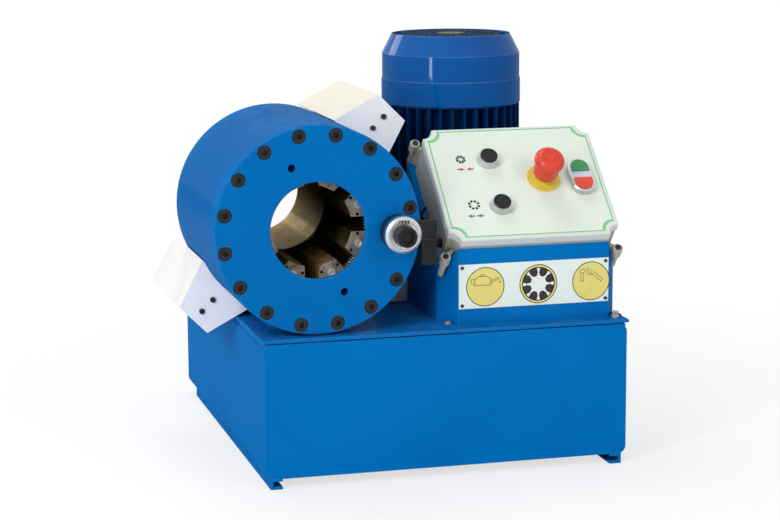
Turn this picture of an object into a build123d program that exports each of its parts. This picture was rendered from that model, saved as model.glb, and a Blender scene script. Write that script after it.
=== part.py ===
"""Hose crimping machine: oil tank, crimping head with eight wedge jaws, motor, pedestal and control box.

Millimetres. +Z is up, -Y is the front and +X is to the right of a person facing the machine.
The origin is on the floor, in the middle of the machine's footprint.
"""
from build123d import *
import os
from math import cos, degrees, radians, sin, sqrt, tan

os.makedirs("parts", exist_ok=True)

# ---------------------------------------------------------------- driving dimensions
# Fits and clearances
SLIDE_FIT = 0.05          # running clearance on a radius
SEAT_GAP = 0.3            # gap between curved or painted faces that rest on each other
PAINT_GAP = 2.0           # air between the drum and the lid
HOLE_EXTRA = 2.0          # depth of a blind screw hole beyond the screw's tip
CUT_EXTRA = 1.0           # how far a cutting shape runs past the face it cuts

# Oil tank
TANK_W = 465.0
TANK_D = 546.0
TANK_H = 167.0
TANK_WALL = 3.0
TANK_BEND_R = 10.0
TANK_RIM_W = 34.0
TANK_RIM_T = 4.0
GASKET_T = 2.0
GASKET_W = 22.0
GASKET_INSET = 3.0
LID_T = 4.0
LID_LIP = 2.0
LID_CHAMFER = 0.8
LID_SCREW_IN = 12.0       # lid screws from the tank's edge
SKID_H = 13.0
SKID_W = 15.0
SKID_WALL = 3.0
SKID_INSET = 6.0
SKID_REAR_INSET = 30.0
TANK_ASIDE = 71.0         # left side of the tank from the head axis
TANK_AHEAD = 8.5          # front of the tank from the flange face

# Crimping head, lengths measured back from the front face of the flange
HEAD_X = -124.0
HEAD_FRONT = -242.0
HEAD_R = 127.5
HEAD_BORE_R = 59.0
FLANGE_T = 35.0
LIP_T = 6.0                # thickness of the flange at its bore
RECESS_R = 74.0            # recess behind the lip, in front of the jaws
DRUM_L = 202.0
CYLINDER_R = 105.0
COVER_T = 30.0
COVER_HUB_R = 95.0
COVER_HUB_L = 21.0
EDGE_CHAMFER = 1.2
HEAD_BOLTS = 16
HEAD_PCD = 233.4
TAPPED_PCD = 166.0
TAPPED_R = 5.0
TAPPED_DEPTH = 22.0
TAPPED_START = 112.5      # direction of the upper tapped hole
CRADLE_W = 96.0
CRADLE_SIDE_H = 34.0
CRADLE_START = 60.0
CRADLE_L = 75.0

# Cap screws (M10) and button screws (M6, M4, M3)
M10_HEAD_R = 8.0
M10_HEAD_H = 10.0
M10_R = 5.0
M10_REACH = 24.0
M10_SINK = 11.0
M10_SINK_R = 9.0
M10_KEY_R = 4.6
M6_HEAD_R = 5.25
M6_HEAD_H = 3.3
M6_R = 3.0
M6_KEY_R = 2.2
M6_TIP = 2.0              # thread past the rim's underside
M4_HEAD_R = 3.5
M4_HEAD_H = 2.2
M4_R = 2.0
M4_KEY_R = 1.6
M3_HEAD_R = 2.1
M3_HEAD_H = 1.2
M3_R = 1.5
M3_KEY_R = 1.0
KEY_DEPTH_SHARE = 0.55    # depth of a key socket as a share of the head's height

# Jaws and cone piston
JAWS = 8
JAW_OPEN = 49.3           # flat distance from axis to the jaw face when open
JAW_FACE_W = 21.0
JAW_FACE_HOLLOW = 0.8
JAW_START = 38.0
JAW_L = 107.0
JAW_OUTER = 99.0
JAW_TRAVEL = 22.0
PISTON_STROKE = 67.0
CONE_MOUTH = 125.0        # front end of the piston when open
CONE_NECK = 219.0         # where the cone turns into the straight passage
PASSAGE_FLAT = 58.0       # flat distance from axis to the eight-sided passage
PISTON_END_GAP = 5.0
SLEEVE_R = 76.0
SLEEVE_END = 361.0         # shoulder that the yoke is bolted against
SPIGOT_R = 63.0
SEAL_W = 6.0
SEAL_T = 4.0
SEAL_SETBACK = 30.0
DIE_BOLT_R = 5.0
DIE_BOLT_H = 2.5
DIE_BOLT_AT = 63.8
DIE_BOLT_KEY_R = 2.6
DIE_PIN_R = 2.0
DIE_PIN_DEPTH = 10.0
DIE_PIN_AT = 58.0
DIE_PIN_SIDE = 11.0
JAW_SLOT_AT = 48.0        # cross slot in the jaw face, from its front end
JAW_SLOT_W = 9.0
JAW_SLOT_D = 3.0
JAW_SLOT_L = 10.5
SPRING_AT = 72.0          # distance of the jaw springs from the axis
SPRING_Y = 52.0           # distance of the jaw springs from the flange face
SPRING_R = 5.0
SPRING_WIRE = 1.2
SPRING_COILS = 7
POCKET_SHORT = 3.0
POCKET_LONG = 24.0

# Return units beside the drum
RETURN_ANGLES = (45.0, 225.0)
RETURN_AT = 152.0         # distance of the return tubes from the head axis
BRACKET_START = 145.0
BRACKET_T = 12.0
BRACKET_W = 36.0
BRACKET_ROOT = 12.0       # length of the foot that is trimmed to the drum
TUBE_R = 18.0
TUBE_BORE_R = 14.0
TUBE_L = 128.0
TUBE_GLAND_L = 12.0
ROD_R = 8.0
ROD_HEAD_L = 12.0
ROD_FRONT_GAP = 75.0      # free length in front of the rod head when open
YOKE_T = 14.0
YOKE_RING_R = 92.0
YOKE_ARM_W = 30.0
YOKE_SCREWS = 8
YOKE_SCREW_REACH = 10.0
GUARD_START = 142.0
GUARD_L = 210.0
GUARD_TOP = 184.0
GUARD_TOP_W = 48.8
GUARD_FOOT = 121.0
GUARD_FOOT_W = 88.0
GUARD_WALL = 2.5
GUARD_SCREWS_AT = (148.5, 168.5)
GUARD_SCREW_REACH = 9.0

# Pedestal and control box
PANEL_ASIDE = 166.5       # left side of the box from the head axis
PANEL_FRONT = -242.0      # front edge of the box lid
PANEL_DROP = 20.9         # front edge of the box lid below the head axis
PANEL_TILT = 48.0         # box leans back from upright by this many degrees
BOX_W = 222.0
BOX_H = 182.0
BOX_LID_T = 12.0
BOX_BASE_T = 50.0
BOX_WALL = 3.0
BOX_NOTCH_R = 14.0
BOX_STEP = 1.0
LUG_R = 6.5
LUG_L = 12.0
LUG_BOSS_R = 4.2
LUG_TOP = 28.0            # depth of the lug tops below the lid face
LUG_OUT = 2.0
LUG_WEB_W = 5.6
LUG_WEB_DROP = 2.0        # web's top below the lug's top
BOX_CHAMFER = 1.5
SKIN_T = 3.0
PED_PROUD = 6.0           # each side of the pedestal from the side of the box
PED_BEVEL_W = 18.5
PED_BEVEL = 33.0
PED_FRONT = -230.0
PED_BEHIND = 5.2615       # back of the pedestal from the box's rearmost edge
PED_WALL = 3.0
PED_TAB_T = 2.0
FOOT_IN = 7.0
PLATE_SIDE_GAP = 0.5      # each end of the plate from the pedestal's bevel
PLATE_H = 55.5
PLATE_T = 1.5
PLATE_DROP = 19.0         # plate's upper edge below the pedestal's upper front edge
PLATE_SCREW_IN = 4.0

# Buttons on the box lid, placed from its lower left corner
CLOSE_AT = (76.0, 127.0)
OPEN_AT = (76.0, 51.5)
ESTOP_AT = (142.0, 93.0)
TWIN_AT = (190.5, 90.0)
BEZEL_R = 14.75
BEZEL_H = 9.0
CAP_R = 11.0
CAP_PROUD = 2.5
CAP_TRAVEL = 4.0
CAP_STEM = 14.0
CAP_STEM_R = 9.0
CAP_CHAMFER = 0.8
CAP_FLOOR = CAP_TRAVEL + 0.5
BEZEL_SLOPE = 1.4
ESTOP_DISC_R = 21.5
ESTOP_DISC_T = 2.0
ESTOP_COLLAR_R = 13.0
ESTOP_COLLAR_H = 7.0
ESTOP_STEM_R = 9.0
ESTOP_HEAD_R = 18.6
ESTOP_SKIRT_R = 16.0
ESTOP_HEAD_H = 31.0
ESTOP_TRAVEL = 5.0
ESTOP_FREE = 0.5          # air under the head when pressed
ESTOP_SPIGOT_R = 5.0
ESTOP_SPIGOT_L = 12.0
ESTOP_WAIST_R = 16.6
ESTOP_WAIST_H = 15.0
ESTOP_BULGE_H = 19.0
ESTOP_SHOULDER_R = 18.3
ESTOP_SHOULDER_H = 26.5
ESTOP_CROWN_R = 15.4
ESTOP_CROWN_H = 30.0
ESTOP_TOP_R = 12.0
TWIN_W = 30.0
TWIN_L = 54.0
TWIN_H = 9.0
TWIN_RIM = 3.2
TWIN_LENS_L = 11.0
TWIN_STEM_R = 5.9
TWIN_STEM_AT = 12.8       # plungers from the middle of the twin button
TWIN_PROUD = 1.5
TWIN_CHAMFER = 1.2

# Size-setting dial on the front flange
DIAL_X = 97.0
DIAL_DROP = 5.0
DIAL_PLATE_T = 3.0
DIAL_PLATE_H = 24.0
DIAL_BODY_R = 17.0
DIAL_BODY_L = 20.0
DIAL_RING_R = 22.5
DIAL_RING_L = 13.0
DIAL_RING_CHAMFER = 3.0
DIAL_WINDOW_RISE = 15.9    # window's middle above the dial's axis
DIAL_WINDOW_W = 14.0
DIAL_WINDOW_H = 4.6
DIAL_WINDOW_R = 1.0
DIAL_WINDOW_D = 1.5
DIAL_NOSE_R = 8.0
DIAL_NOSE_L = 15.0
KNOB_R = 12.5
KNOB_L = 16.0
KNOB_CHAMFER = 1.0
KNOB_SOCKET_R = 8.5
KNOB_SOCKET_D = 6.0
KNOB_SHAFT_R = 3.0
KNOB_SHAFT_L = 12.0
SWITCH_IN = 129.0         # near side of the switch from the head axis
SWITCH_W = 19.0
SWITCH_D = 30.0
SWITCH_H = 46.0
SWITCH_DROP = 3.0
SWITCH_EDGE_R = 2.0
SWITCH_PIN_R = 3.0
SWITCH_PIN_H = 13.0
SWITCH_PIN_X = 5.7         # pin from the switch's near side
SWITCH_PIN_Y = 9.0         # pin from the flange face
CABLE_R = 2.0
CABLE_X = 12.35            # cable's exit from the switch's near side
CABLE_Y = 12.5             # cable's exit from the flange face
CABLE_LEVEL_L = 12.5       # level run into the gland
ARC_SHARE = 0.45           # part of the shorter run that a bend takes up
# Corners of the cable's route, counted from its exit: right, back, up
CABLE_STEPS = [(0, 0, 0), (0, 0, 13), (2, 8, 21.5), (3, 19.5, 21.5), (1, 29, 13.5), (-2, 33.7, 1),
               (-3.5, 33.7, -18.5)]
GLAND_R = 6.5
GLAND_L = 8.0
GLAND_HEX_L = 4.0
GLAND_NECK_R = 4.9
GLAND_DEPTH = 38.0         # gland's axis below the lid face
GLAND_RISE = 28.0          # gland's axis above the lid's lower edge

# Motor, pump and valves
MOTOR_X = 131.0
MOTOR_Y = 58.0
MOTOR_R = 92.5
MOTOR_CORE_R = 76.0
FIN_T = 2.6
FIN_L = 18.5               # fin length, root inside the core included
FINS = 36
FLANGE_FOOT_H = 20.0
FOOT_FLANGE_R = 88.5
FRAME_L = 227.0
SHIELD_H = 34.0
SHIELD_R = 93.5
SHIELD_IN_R = 87.5
SHIELD_HUB_R = 24.0
SHIELD_FLOOR = 8.0
SHIELD_CHAMFER = 2.5
HOOD_H = 60.0
HOOD_TOP_R = 79.5
HOOD_SHOULDER_H = 34.0
HOOD_WALL = 2.0
HOOD_HUB_R = 15.0
HOOD_SLOT_W = 9.0
HOOD_RIB_W = 6.0
HOOD_RIM_W = 4.0
HOOD_RINGS = 4
HOOD_SECTORS = 8
SHAFT_R = 12.0
ROTOR_R = 50.0
ROTOR_INSET = 30.0
SHAFT_DROP = 46.0          # shaft's lower end below the lid
STATOR_BORE_R = 50.6
FAN_R = 68.0
FAN_H = 22.0
FAN_BLADES = 8
FAN_LIFT = 8.0
FAN_DISC_T = 3.0
FAN_HUB_R = 20.0
BLADE_T = 3.0
BLADE_GAP = 4.0            # blade ends from the rim and the shaft together
TERMINAL_W = 92.0
TERMINAL_H = 80.0
TERMINAL_D = 42.0          # how far the terminal box stands out from the fins
TERMINAL_RISE = 124.85
TERMINAL_EDGE_R = 6.0
TERMINAL_CHAMFER = 2.0
PUMP_FLANGE_R = 60.0
PUMP_FLANGE_T = 8.0
PUMP_HOLE_R = 44.75
PUMP_BELL_R = 42.75
PUMP_BELL_L = 58.0
PUMP_BODY = 78.0
PUMP_BODY_L = 64.0
PUMP_EDGE_R = 8.0
PUMP_SOCKET_R = 22.0
PUMP_SOCKET_L = 50.0
SUCTION_X = 19.5
SUCTION_R = 13.0
SUCTION_L = 24.0
VALVE_X = 29.0
VALVE_W = 46.0
VALVE_D = 44.0
VALVE_H = 52.0
VALVE_CHAMFER = 1.0
COIL_L = 40.0
COIL_W = 32.0
COIL_H = 36.0
COIL_EDGE_R = 4.0
COIL_NUT_R = 7.0
COIL_NUT_L = 6.0
PIPE_R = 6.0
PIPE_BEND_R = 14.0
PIPE_NUT_R = 9.5
PIPE_NUT_L = 12.0
PIPE_PORT_NUT_L = 8.4
PIPE_ANGLE = 18.0         # port position round the drum, up from the right
PIPE_PORT_AT = 200.0      # pipe port on the drum, behind the flange face
FILLER_IN = 105.0          # filler from the left side of the tank
FILLER_AHEAD = 70.5        # filler from the back of the tank
FILLER_R = 24.0
FILLER_H = 34.0
FILLER_TOP_R = 20.5
FILLER_SHOULDER_H = 30.0
FILLER_NECK_R = 19.0
FILLER_NECK_H = 12.0
FILLER_TUBE_R = 14.5
FILLER_TUBE_L = 18.0

# ---------------------------------------------------------------- derived places
LID_TOP = SKID_H + TANK_H + GASKET_T + LID_T
HEAD_Z = LID_TOP + PAINT_GAP + HEAD_R
TANK_X = HEAD_X - TANK_ASIDE + TANK_W / 2
TANK_Y = HEAD_FRONT - TANK_AHEAD + TANK_D / 2
PANEL_X = HEAD_X + PANEL_ASIDE + BOX_W / 2
BOX_T = BOX_LID_T + BOX_BASE_T
PED_W = BOX_W + 2 * PED_PROUD
PED_FRONT_W = PED_W - 2 * PED_BEVEL_W
PED_BACK = PANEL_FRONT + BOX_H * sin(radians(PANEL_TILT)) + BOX_T * cos(radians(PANEL_TILT)) + PED_BEHIND
PED_HEIGHT = HEAD_Z - PANEL_DROP + BOX_H * cos(radians(PANEL_TILT)) - LID_TOP
PLATE_W = PED_FRONT_W - 2 * PLATE_SIDE_GAP
VALVE_Y = PED_BACK + VALVE_D / 2
FILLER_X = TANK_X - TANK_W / 2 + FILLER_IN
FILLER_Y = TANK_Y + TANK_D / 2 - FILLER_AHEAD
DRUM_END = FLANGE_T + DRUM_L
CONE_SLOPE = JAW_TRAVEL / PISTON_STROKE
TUBE_START = BRACKET_START + BRACKET_T
ROD_START = TUBE_START + ROD_FRONT_GAP
PISTON_BACK = DRUM_END - PISTON_END_GAP
CONE_MOUTH_FLAT = PASSAGE_FLAT + (CONE_NECK - CONE_MOUTH) * CONE_SLOPE
JAW_STEP = 360.0 / JAWS
HALF_STEP = JAW_STEP / 2


def head_plane(back):
    """Plane across the head axis, facing forward, at a distance behind the flange face."""
    return Plane(origin=(HEAD_X, HEAD_FRONT + back, HEAD_Z), x_dir=(1, 0, 0), z_dir=(0, -1, 0))


def turned_plane(back, angle, facing=-1):
    """Head plane turned so that its x runs outwards at this angle; facing 1 looks to the rear."""
    outward = (cos(radians(angle)), 0, sin(radians(angle)))
    return Plane(origin=(HEAD_X, HEAD_FRONT + back, HEAD_Z), x_dir=outward, z_dir=(0, facing, 0))


def jaw_angle(k):
    """Direction of jaw k; the gaps between the jaws lie at 0, 45, 90 degrees and so on."""
    return HALF_STEP + JAW_STEP * k


def panel_plane(height):
    """Plane parallel to the face of the box lid, origin above its centre."""
    tilt = radians(PANEL_TILT)
    normal = Vector(0, -cos(tilt), sin(tilt))
    rise = Vector(0, sin(tilt), cos(tilt))
    corner = Vector(PANEL_X, PANEL_FRONT, HEAD_Z - PANEL_DROP)
    centre = corner + rise * (BOX_H / 2) + normal * height
    return Plane(origin=centre, x_dir=(1, 0, 0), z_dir=normal)


def on_panel(place):
    """Turn a place counted from the lid's lower left corner into one from its centre."""
    return (place[0] - BOX_W / 2, place[1] - BOX_H / 2)


def finish(part, label):
    part.label = label
    export_step(part, "parts/" + label + ".step")


def cap_screw(head_r, head_h, shank_r, shank_l, key):
    """A socket screw with its head seat at z = 0 and its shank pointing down."""
    with BuildPart() as screw:
        with BuildSketch(Plane.XY):
            Circle(head_r)
        extrude(amount=head_h)
        with BuildSketch(Plane.XY):
            Circle(shank_r)
        extrude(amount=-shank_l)
        with BuildSketch(Plane.XY.offset(head_h)):
            RegularPolygon(radius=key, side_count=6)
        extrude(amount=-head_h * KEY_DEPTH_SHARE, mode=Mode.SUBTRACT)
    return screw.part


# ---------------------------------------------------------------- tank
def rim_places(count_x, count_y, inset):
    """Screw places round the lid."""
    half_w = TANK_W / 2 - inset
    half_d = TANK_D / 2 - inset
    places = []
    for i in range(count_x):
        x = -half_w + 2 * half_w * i / (count_x - 1)
        places += [(TANK_X + x, TANK_Y - half_d), (TANK_X + x, TANK_Y + half_d)]
    for i in range(1, count_y - 1):
        y = -half_d + 2 * half_d * i / (count_y - 1)
        places += [(TANK_X - half_w, TANK_Y + y), (TANK_X + half_w, TANK_Y + y)]
    return places


LID_SCREWS = rim_places(2, 3, LID_SCREW_IN)[1:]
FOOT_SCREWS = [(PANEL_X + side * (PED_W / 2 - FOOT_IN), PED_FRONT + FOOT_IN) for side in (-1, 1)]
LID_HOLES = LID_SCREWS + FOOT_SCREWS
SHELL_TOP = SKID_H + TANK_H
GASKET_TOP = SHELL_TOP + GASKET_T

with BuildPart() as tank_shell:
    front = Plane(origin=(TANK_X, TANK_Y - TANK_D / 2, SKID_H), x_dir=(1, 0, 0), z_dir=(0, -1, 0))
    with BuildSketch(front) as end:
        Rectangle(TANK_W, TANK_H, align=(Align.CENTER, Align.MIN))
        fillet(end.vertices().group_by(Axis.Z)[0], TANK_BEND_R)
    extrude(amount=-TANK_D)
    inside = Plane(origin=(TANK_X, TANK_Y - TANK_D / 2 + TANK_WALL, SKID_H + TANK_WALL), x_dir=(1, 0, 0),
                   z_dir=(0, -1, 0))
    with BuildSketch(inside) as hollow:
        Rectangle(TANK_W - 2 * TANK_WALL, TANK_H, align=(Align.CENTER, Align.MIN))
        fillet(hollow.vertices().group_by(Axis.Z)[0], TANK_BEND_R - TANK_WALL)
    extrude(amount=-(TANK_D - 2 * TANK_WALL), mode=Mode.SUBTRACT)
    with BuildSketch(Plane.XY.offset(SHELL_TOP)):
        with Locations((TANK_X, TANK_Y)):
            Rectangle(TANK_W - TANK_WALL, TANK_D - TANK_WALL)
            Rectangle(TANK_W - 2 * TANK_RIM_W, TANK_D - 2 * TANK_RIM_W, mode=Mode.SUBTRACT)
        with Locations(LID_HOLES):
            Circle(M6_R + SLIDE_FIT, mode=Mode.SUBTRACT)
    extrude(amount=-TANK_RIM_T)
finish(tank_shell.part, "tank_shell")

with BuildPart() as lid_gasket:
    with BuildSketch(Plane.XY.offset(SHELL_TOP)):
        with Locations((TANK_X, TANK_Y)):
            Rectangle(TANK_W - 2 * GASKET_INSET, TANK_D - 2 * GASKET_INSET)
            Rectangle(TANK_W - 2 * GASKET_W, TANK_D - 2 * GASKET_W, mode=Mode.SUBTRACT)
        with Locations(LID_HOLES):
            Circle(M6_R + SLIDE_FIT, mode=Mode.SUBTRACT)
    extrude(amount=GASKET_T)
finish(lid_gasket.part, "lid_gasket")

with BuildPart() as tank_lid:
    with BuildSketch(Plane.XY.offset(GASKET_TOP)):
        with Locations((TANK_X, TANK_Y)):
            Rectangle(TANK_W + 2 * LID_LIP, TANK_D + 2 * LID_LIP)
        with Locations(LID_HOLES):
            Circle(M6_R + SLIDE_FIT, mode=Mode.SUBTRACT)
        with Locations((MOTOR_X, MOTOR_Y)):
            Circle(PUMP_HOLE_R, mode=Mode.SUBTRACT)
        with Locations((FILLER_X, FILLER_Y)):
            Circle(FILLER_TUBE_R + SEAT_GAP, mode=Mode.SUBTRACT)
    extrude(amount=LID_T)
    chamfer(tank_lid.faces().sort_by(Axis.Z)[-1].outer_wire().edges(), LID_CHAMFER)
    with BuildSketch(head_plane(CRADLE_START)):
        with Locations((0, -(HEAD_Z - LID_TOP))):
            Rectangle(CRADLE_W, CRADLE_SIDE_H, align=(Align.CENTER, Align.MIN))
        Circle(HEAD_R + SEAT_GAP, mode=Mode.SUBTRACT)
    extrude(amount=-CRADLE_L)
finish(tank_lid.part, "tank_lid")

with BuildPart() as skid_rails:
    for side in (-1, 1):
        x = TANK_X + side * (TANK_W / 2 - SKID_INSET - SKID_W / 2)
        front = TANK_Y - TANK_D / 2
        with BuildSketch(Plane(origin=(x, front, 0), x_dir=(1, 0, 0), z_dir=(0, -1, 0))):
            Rectangle(SKID_W, SKID_H, align=(Align.CENTER, Align.MIN))
            with Locations((-side * SKID_WALL, SKID_WALL)):
                Rectangle(SKID_W, SKID_H - 2 * SKID_WALL, align=(Align.CENTER, Align.MIN), mode=Mode.SUBTRACT)
        extrude(amount=-(TANK_D - SKID_REAR_INSET))
finish(skid_rails.part, "skid_rails")

with BuildPart() as filler_breather:
    with BuildSketch(Plane(origin=(FILLER_X, FILLER_Y, LID_TOP), x_dir=(1, 0, 0), z_dir=(0, -1, 0))):
        with BuildLine():
            Polyline(
                (0, -FILLER_TUBE_L), (FILLER_TUBE_R, -FILLER_TUBE_L), (FILLER_TUBE_R, 0), (FILLER_NECK_R, 0),
                (FILLER_NECK_R, FILLER_NECK_H), (FILLER_R, FILLER_NECK_H), (FILLER_R, FILLER_SHOULDER_H),
                (FILLER_TOP_R, FILLER_H), (0, FILLER_H), (0, -FILLER_TUBE_L))
        make_face()
    revolve(axis=Axis(origin=(FILLER_X, FILLER_Y, 0), direction=(0, 0, 1)))
finish(filler_breather.part, "filler_breather")

# ---------------------------------------------------------------- crimping head
BOLT_START = HALF_STEP / 2

with BuildPart() as front_flange:
    with BuildSketch(head_plane(0)):
        Circle(HEAD_R)
        Circle(HEAD_BORE_R, mode=Mode.SUBTRACT)
    extrude(amount=-FLANGE_T)
    chamfer(front_flange.faces().sort_by(Axis.Y)[0].edges(), EDGE_CHAMFER)
    with BuildSketch(head_plane(LIP_T)):
        Circle(RECESS_R)
    extrude(amount=-(FLANGE_T - LIP_T), mode=Mode.SUBTRACT)
    with BuildSketch(head_plane(0)):
        with PolarLocations(HEAD_PCD / 2, HEAD_BOLTS, start_angle=BOLT_START):
            Circle(M10_SINK_R)
    extrude(amount=-M10_SINK, mode=Mode.SUBTRACT)
    with BuildSketch(head_plane(0)):
        with PolarLocations(HEAD_PCD / 2, HEAD_BOLTS, start_angle=BOLT_START):
            Circle(M10_R + SLIDE_FIT)
    extrude(amount=-FLANGE_T, mode=Mode.SUBTRACT)
    with BuildSketch(head_plane(0)):
        with PolarLocations(TAPPED_PCD / 2, 2, start_angle=TAPPED_START):
            Circle(TAPPED_R)
    extrude(amount=-TAPPED_DEPTH, mode=Mode.SUBTRACT)
    with BuildSketch(head_plane(0)):
        with Locations((DIAL_X, -DIAL_DROP)):
            Circle(DIAL_NOSE_R + SLIDE_FIT)
    extrude(amount=-DIAL_NOSE_L - HOLE_EXTRA, mode=Mode.SUBTRACT)
finish(front_flange.part, "front_flange")

with BuildPart() as head_drum:
    with BuildSketch(head_plane(FLANGE_T)):
        Circle(HEAD_R)
        Circle(CYLINDER_R, mode=Mode.SUBTRACT)
        with PolarLocations(HEAD_PCD / 2, HEAD_BOLTS, start_angle=BOLT_START):
            Circle(M10_R + SLIDE_FIT, mode=Mode.SUBTRACT)
    extrude(amount=-DRUM_L)
    chamfer(head_drum.faces().sort_by(Axis.Y)[0].outer_wire().edges(), EDGE_CHAMFER / 2)
finish(head_drum.part, "head_drum")

with BuildPart() as rear_cover:
    with BuildSketch(head_plane(DRUM_END)):
        Circle(HEAD_R)
    extrude(amount=-COVER_T)
    with BuildSketch(head_plane(DRUM_END + COVER_T)):
        Circle(COVER_HUB_R)
    extrude(amount=-COVER_HUB_L)
    with BuildSketch(head_plane(DRUM_END)):
        Circle(SLEEVE_R + SLIDE_FIT)
    extrude(amount=-COVER_T - COVER_HUB_L, mode=Mode.SUBTRACT)
    with BuildSketch(head_plane(DRUM_END + COVER_T)):
        with PolarLocations(HEAD_PCD / 2, HEAD_BOLTS, start_angle=BOLT_START):
            Circle(M10_SINK_R)
    extrude(amount=M10_SINK, mode=Mode.SUBTRACT)
    with BuildSketch(head_plane(DRUM_END)):
        with PolarLocations(HEAD_PCD / 2, HEAD_BOLTS, start_angle=BOLT_START):
            Circle(M10_R + SLIDE_FIT)
    extrude(amount=-COVER_T, mode=Mode.SUBTRACT)
    chamfer(rear_cover.faces().sort_by(Axis.Y)[-1].outer_wire().edges(), EDGE_CHAMFER)
finish(rear_cover.part, "rear_cover")

# Cap screws: the front row clamps the flange and the rear row clamps the cover
FRONT_SHANK = FLANGE_T - M10_SINK + M10_REACH
REAR_SHANK = COVER_T - M10_SINK + M10_REACH
front_screw = cap_screw(M10_HEAD_R, M10_HEAD_H, M10_R, FRONT_SHANK, M10_KEY_R)
rear_screw = cap_screw(M10_HEAD_R, M10_HEAD_H, M10_R, REAR_SHANK, M10_KEY_R)
with BuildPart() as m10_cap_screws:
    for k in range(HEAD_BOLTS):
        angle = BOLT_START + 360.0 / HEAD_BOLTS * k
        seat = turned_plane(M10_SINK, angle).location
        add(seat * Pos(HEAD_PCD / 2, 0, 0) * front_screw)
        back = turned_plane(DRUM_END + COVER_T - M10_SINK, angle, facing=1).location
        add(back * Pos(HEAD_PCD / 2, 0, 0) * rear_screw)
finish(m10_cap_screws.part, "m10_cap_screws")

# ---------------------------------------------------------------- cone piston
NECK_R = PASSAGE_FLAT / cos(radians(HALF_STEP))
YOKE_SCREW_AT = (SLEEVE_R + SPIGOT_R) / 2
SPIGOT_END = SLEEVE_END + YOKE_T
MOUTH_R = CONE_MOUTH_FLAT / cos(radians(HALF_STEP))

with BuildPart() as cone_piston:
    with BuildSketch(head_plane(CONE_MOUTH)):
        Circle(CYLINDER_R - SLIDE_FIT)
    extrude(amount=-(PISTON_BACK - CONE_MOUTH))
    with BuildSketch(head_plane(PISTON_BACK)):
        Circle(SLEEVE_R)
    extrude(amount=-(SLEEVE_END - PISTON_BACK))
    with BuildSketch(head_plane(SLEEVE_END)):
        Circle(SPIGOT_R)
    extrude(amount=-YOKE_T)
    with BuildSketch(head_plane(CONE_MOUTH)):
        RegularPolygon(radius=MOUTH_R, side_count=JAWS)
    with BuildSketch(head_plane(CONE_NECK)):
        RegularPolygon(radius=NECK_R, side_count=JAWS)
    loft(ruled=True, mode=Mode.SUBTRACT)
    with BuildSketch(head_plane(CONE_NECK)):
        Circle(PASSAGE_FLAT)
    extrude(amount=-(SPIGOT_END - CONE_NECK), mode=Mode.SUBTRACT)
    with BuildSketch(head_plane(PISTON_BACK - SEAL_SETBACK)):
        Circle(CYLINDER_R)
        Circle(CYLINDER_R - SEAL_T, mode=Mode.SUBTRACT)
    extrude(amount=-SEAL_W, mode=Mode.SUBTRACT)
    with BuildSketch(head_plane(SLEEVE_END)):
        with PolarLocations(YOKE_SCREW_AT, YOKE_SCREWS, start_angle=HALF_STEP):
            Circle(M6_R + SLIDE_FIT)
    extrude(amount=YOKE_SCREW_REACH + HOLE_EXTRA, mode=Mode.SUBTRACT)
finish(cone_piston.part, "cone_piston")

with BuildPart() as piston_seal:
    with BuildSketch(head_plane(PISTON_BACK - SEAL_SETBACK + SLIDE_FIT)):
        Circle(CYLINDER_R - SLIDE_FIT / 2)
        Circle(CYLINDER_R - SEAL_T, mode=Mode.SUBTRACT)
    extrude(amount=-(SEAL_W - 2 * SLIDE_FIT))
finish(piston_seal.part, "piston_seal")

with BuildPart() as return_yoke:
    with BuildSketch(head_plane(SLEEVE_END)):
        Circle(YOKE_RING_R)
        for angle in RETURN_ANGLES:
            with Locations(Rot(0, 0, angle)):
                with Locations((RETURN_AT / 2, 0)):
                    Rectangle(RETURN_AT, YOKE_ARM_W)
                with Locations((RETURN_AT, 0)):
                    Circle(YOKE_ARM_W / 2)
        Circle(SPIGOT_R + SLIDE_FIT, mode=Mode.SUBTRACT)
        with PolarLocations(YOKE_SCREW_AT, YOKE_SCREWS, start_angle=HALF_STEP):
            Circle(M6_R + SLIDE_FIT, mode=Mode.SUBTRACT)
    extrude(amount=-YOKE_T)
finish(return_yoke.part, "return_yoke")

yoke_screw = cap_screw(M6_HEAD_R, M6_HEAD_H, M6_R, YOKE_T + YOKE_SCREW_REACH, M6_KEY_R)
with BuildPart() as yoke_screws:
    for k in range(YOKE_SCREWS):
        seat = turned_plane(SLEEVE_END + YOKE_T, HALF_STEP + 360.0 / YOKE_SCREWS * k, facing=1).location
        add(seat * Pos(YOKE_SCREW_AT, 0, 0) * yoke_screw)
finish(yoke_screws.part, "yoke_screws")

# ---------------------------------------------------------------- return units and guards
with BuildPart() as return_rods:
    for angle in RETURN_ANGLES:
        with BuildSketch(turned_plane(ROD_START, angle)):
            with Locations((RETURN_AT, 0)):
                Circle(TUBE_BORE_R - SLIDE_FIT)
        extrude(amount=-ROD_HEAD_L)
        with BuildSketch(turned_plane(ROD_START, angle)):
            with Locations((RETURN_AT, 0)):
                Circle(ROD_R)
        extrude(amount=-(SLEEVE_END - ROD_START))
finish(return_rods.part, "return_rods")

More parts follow.
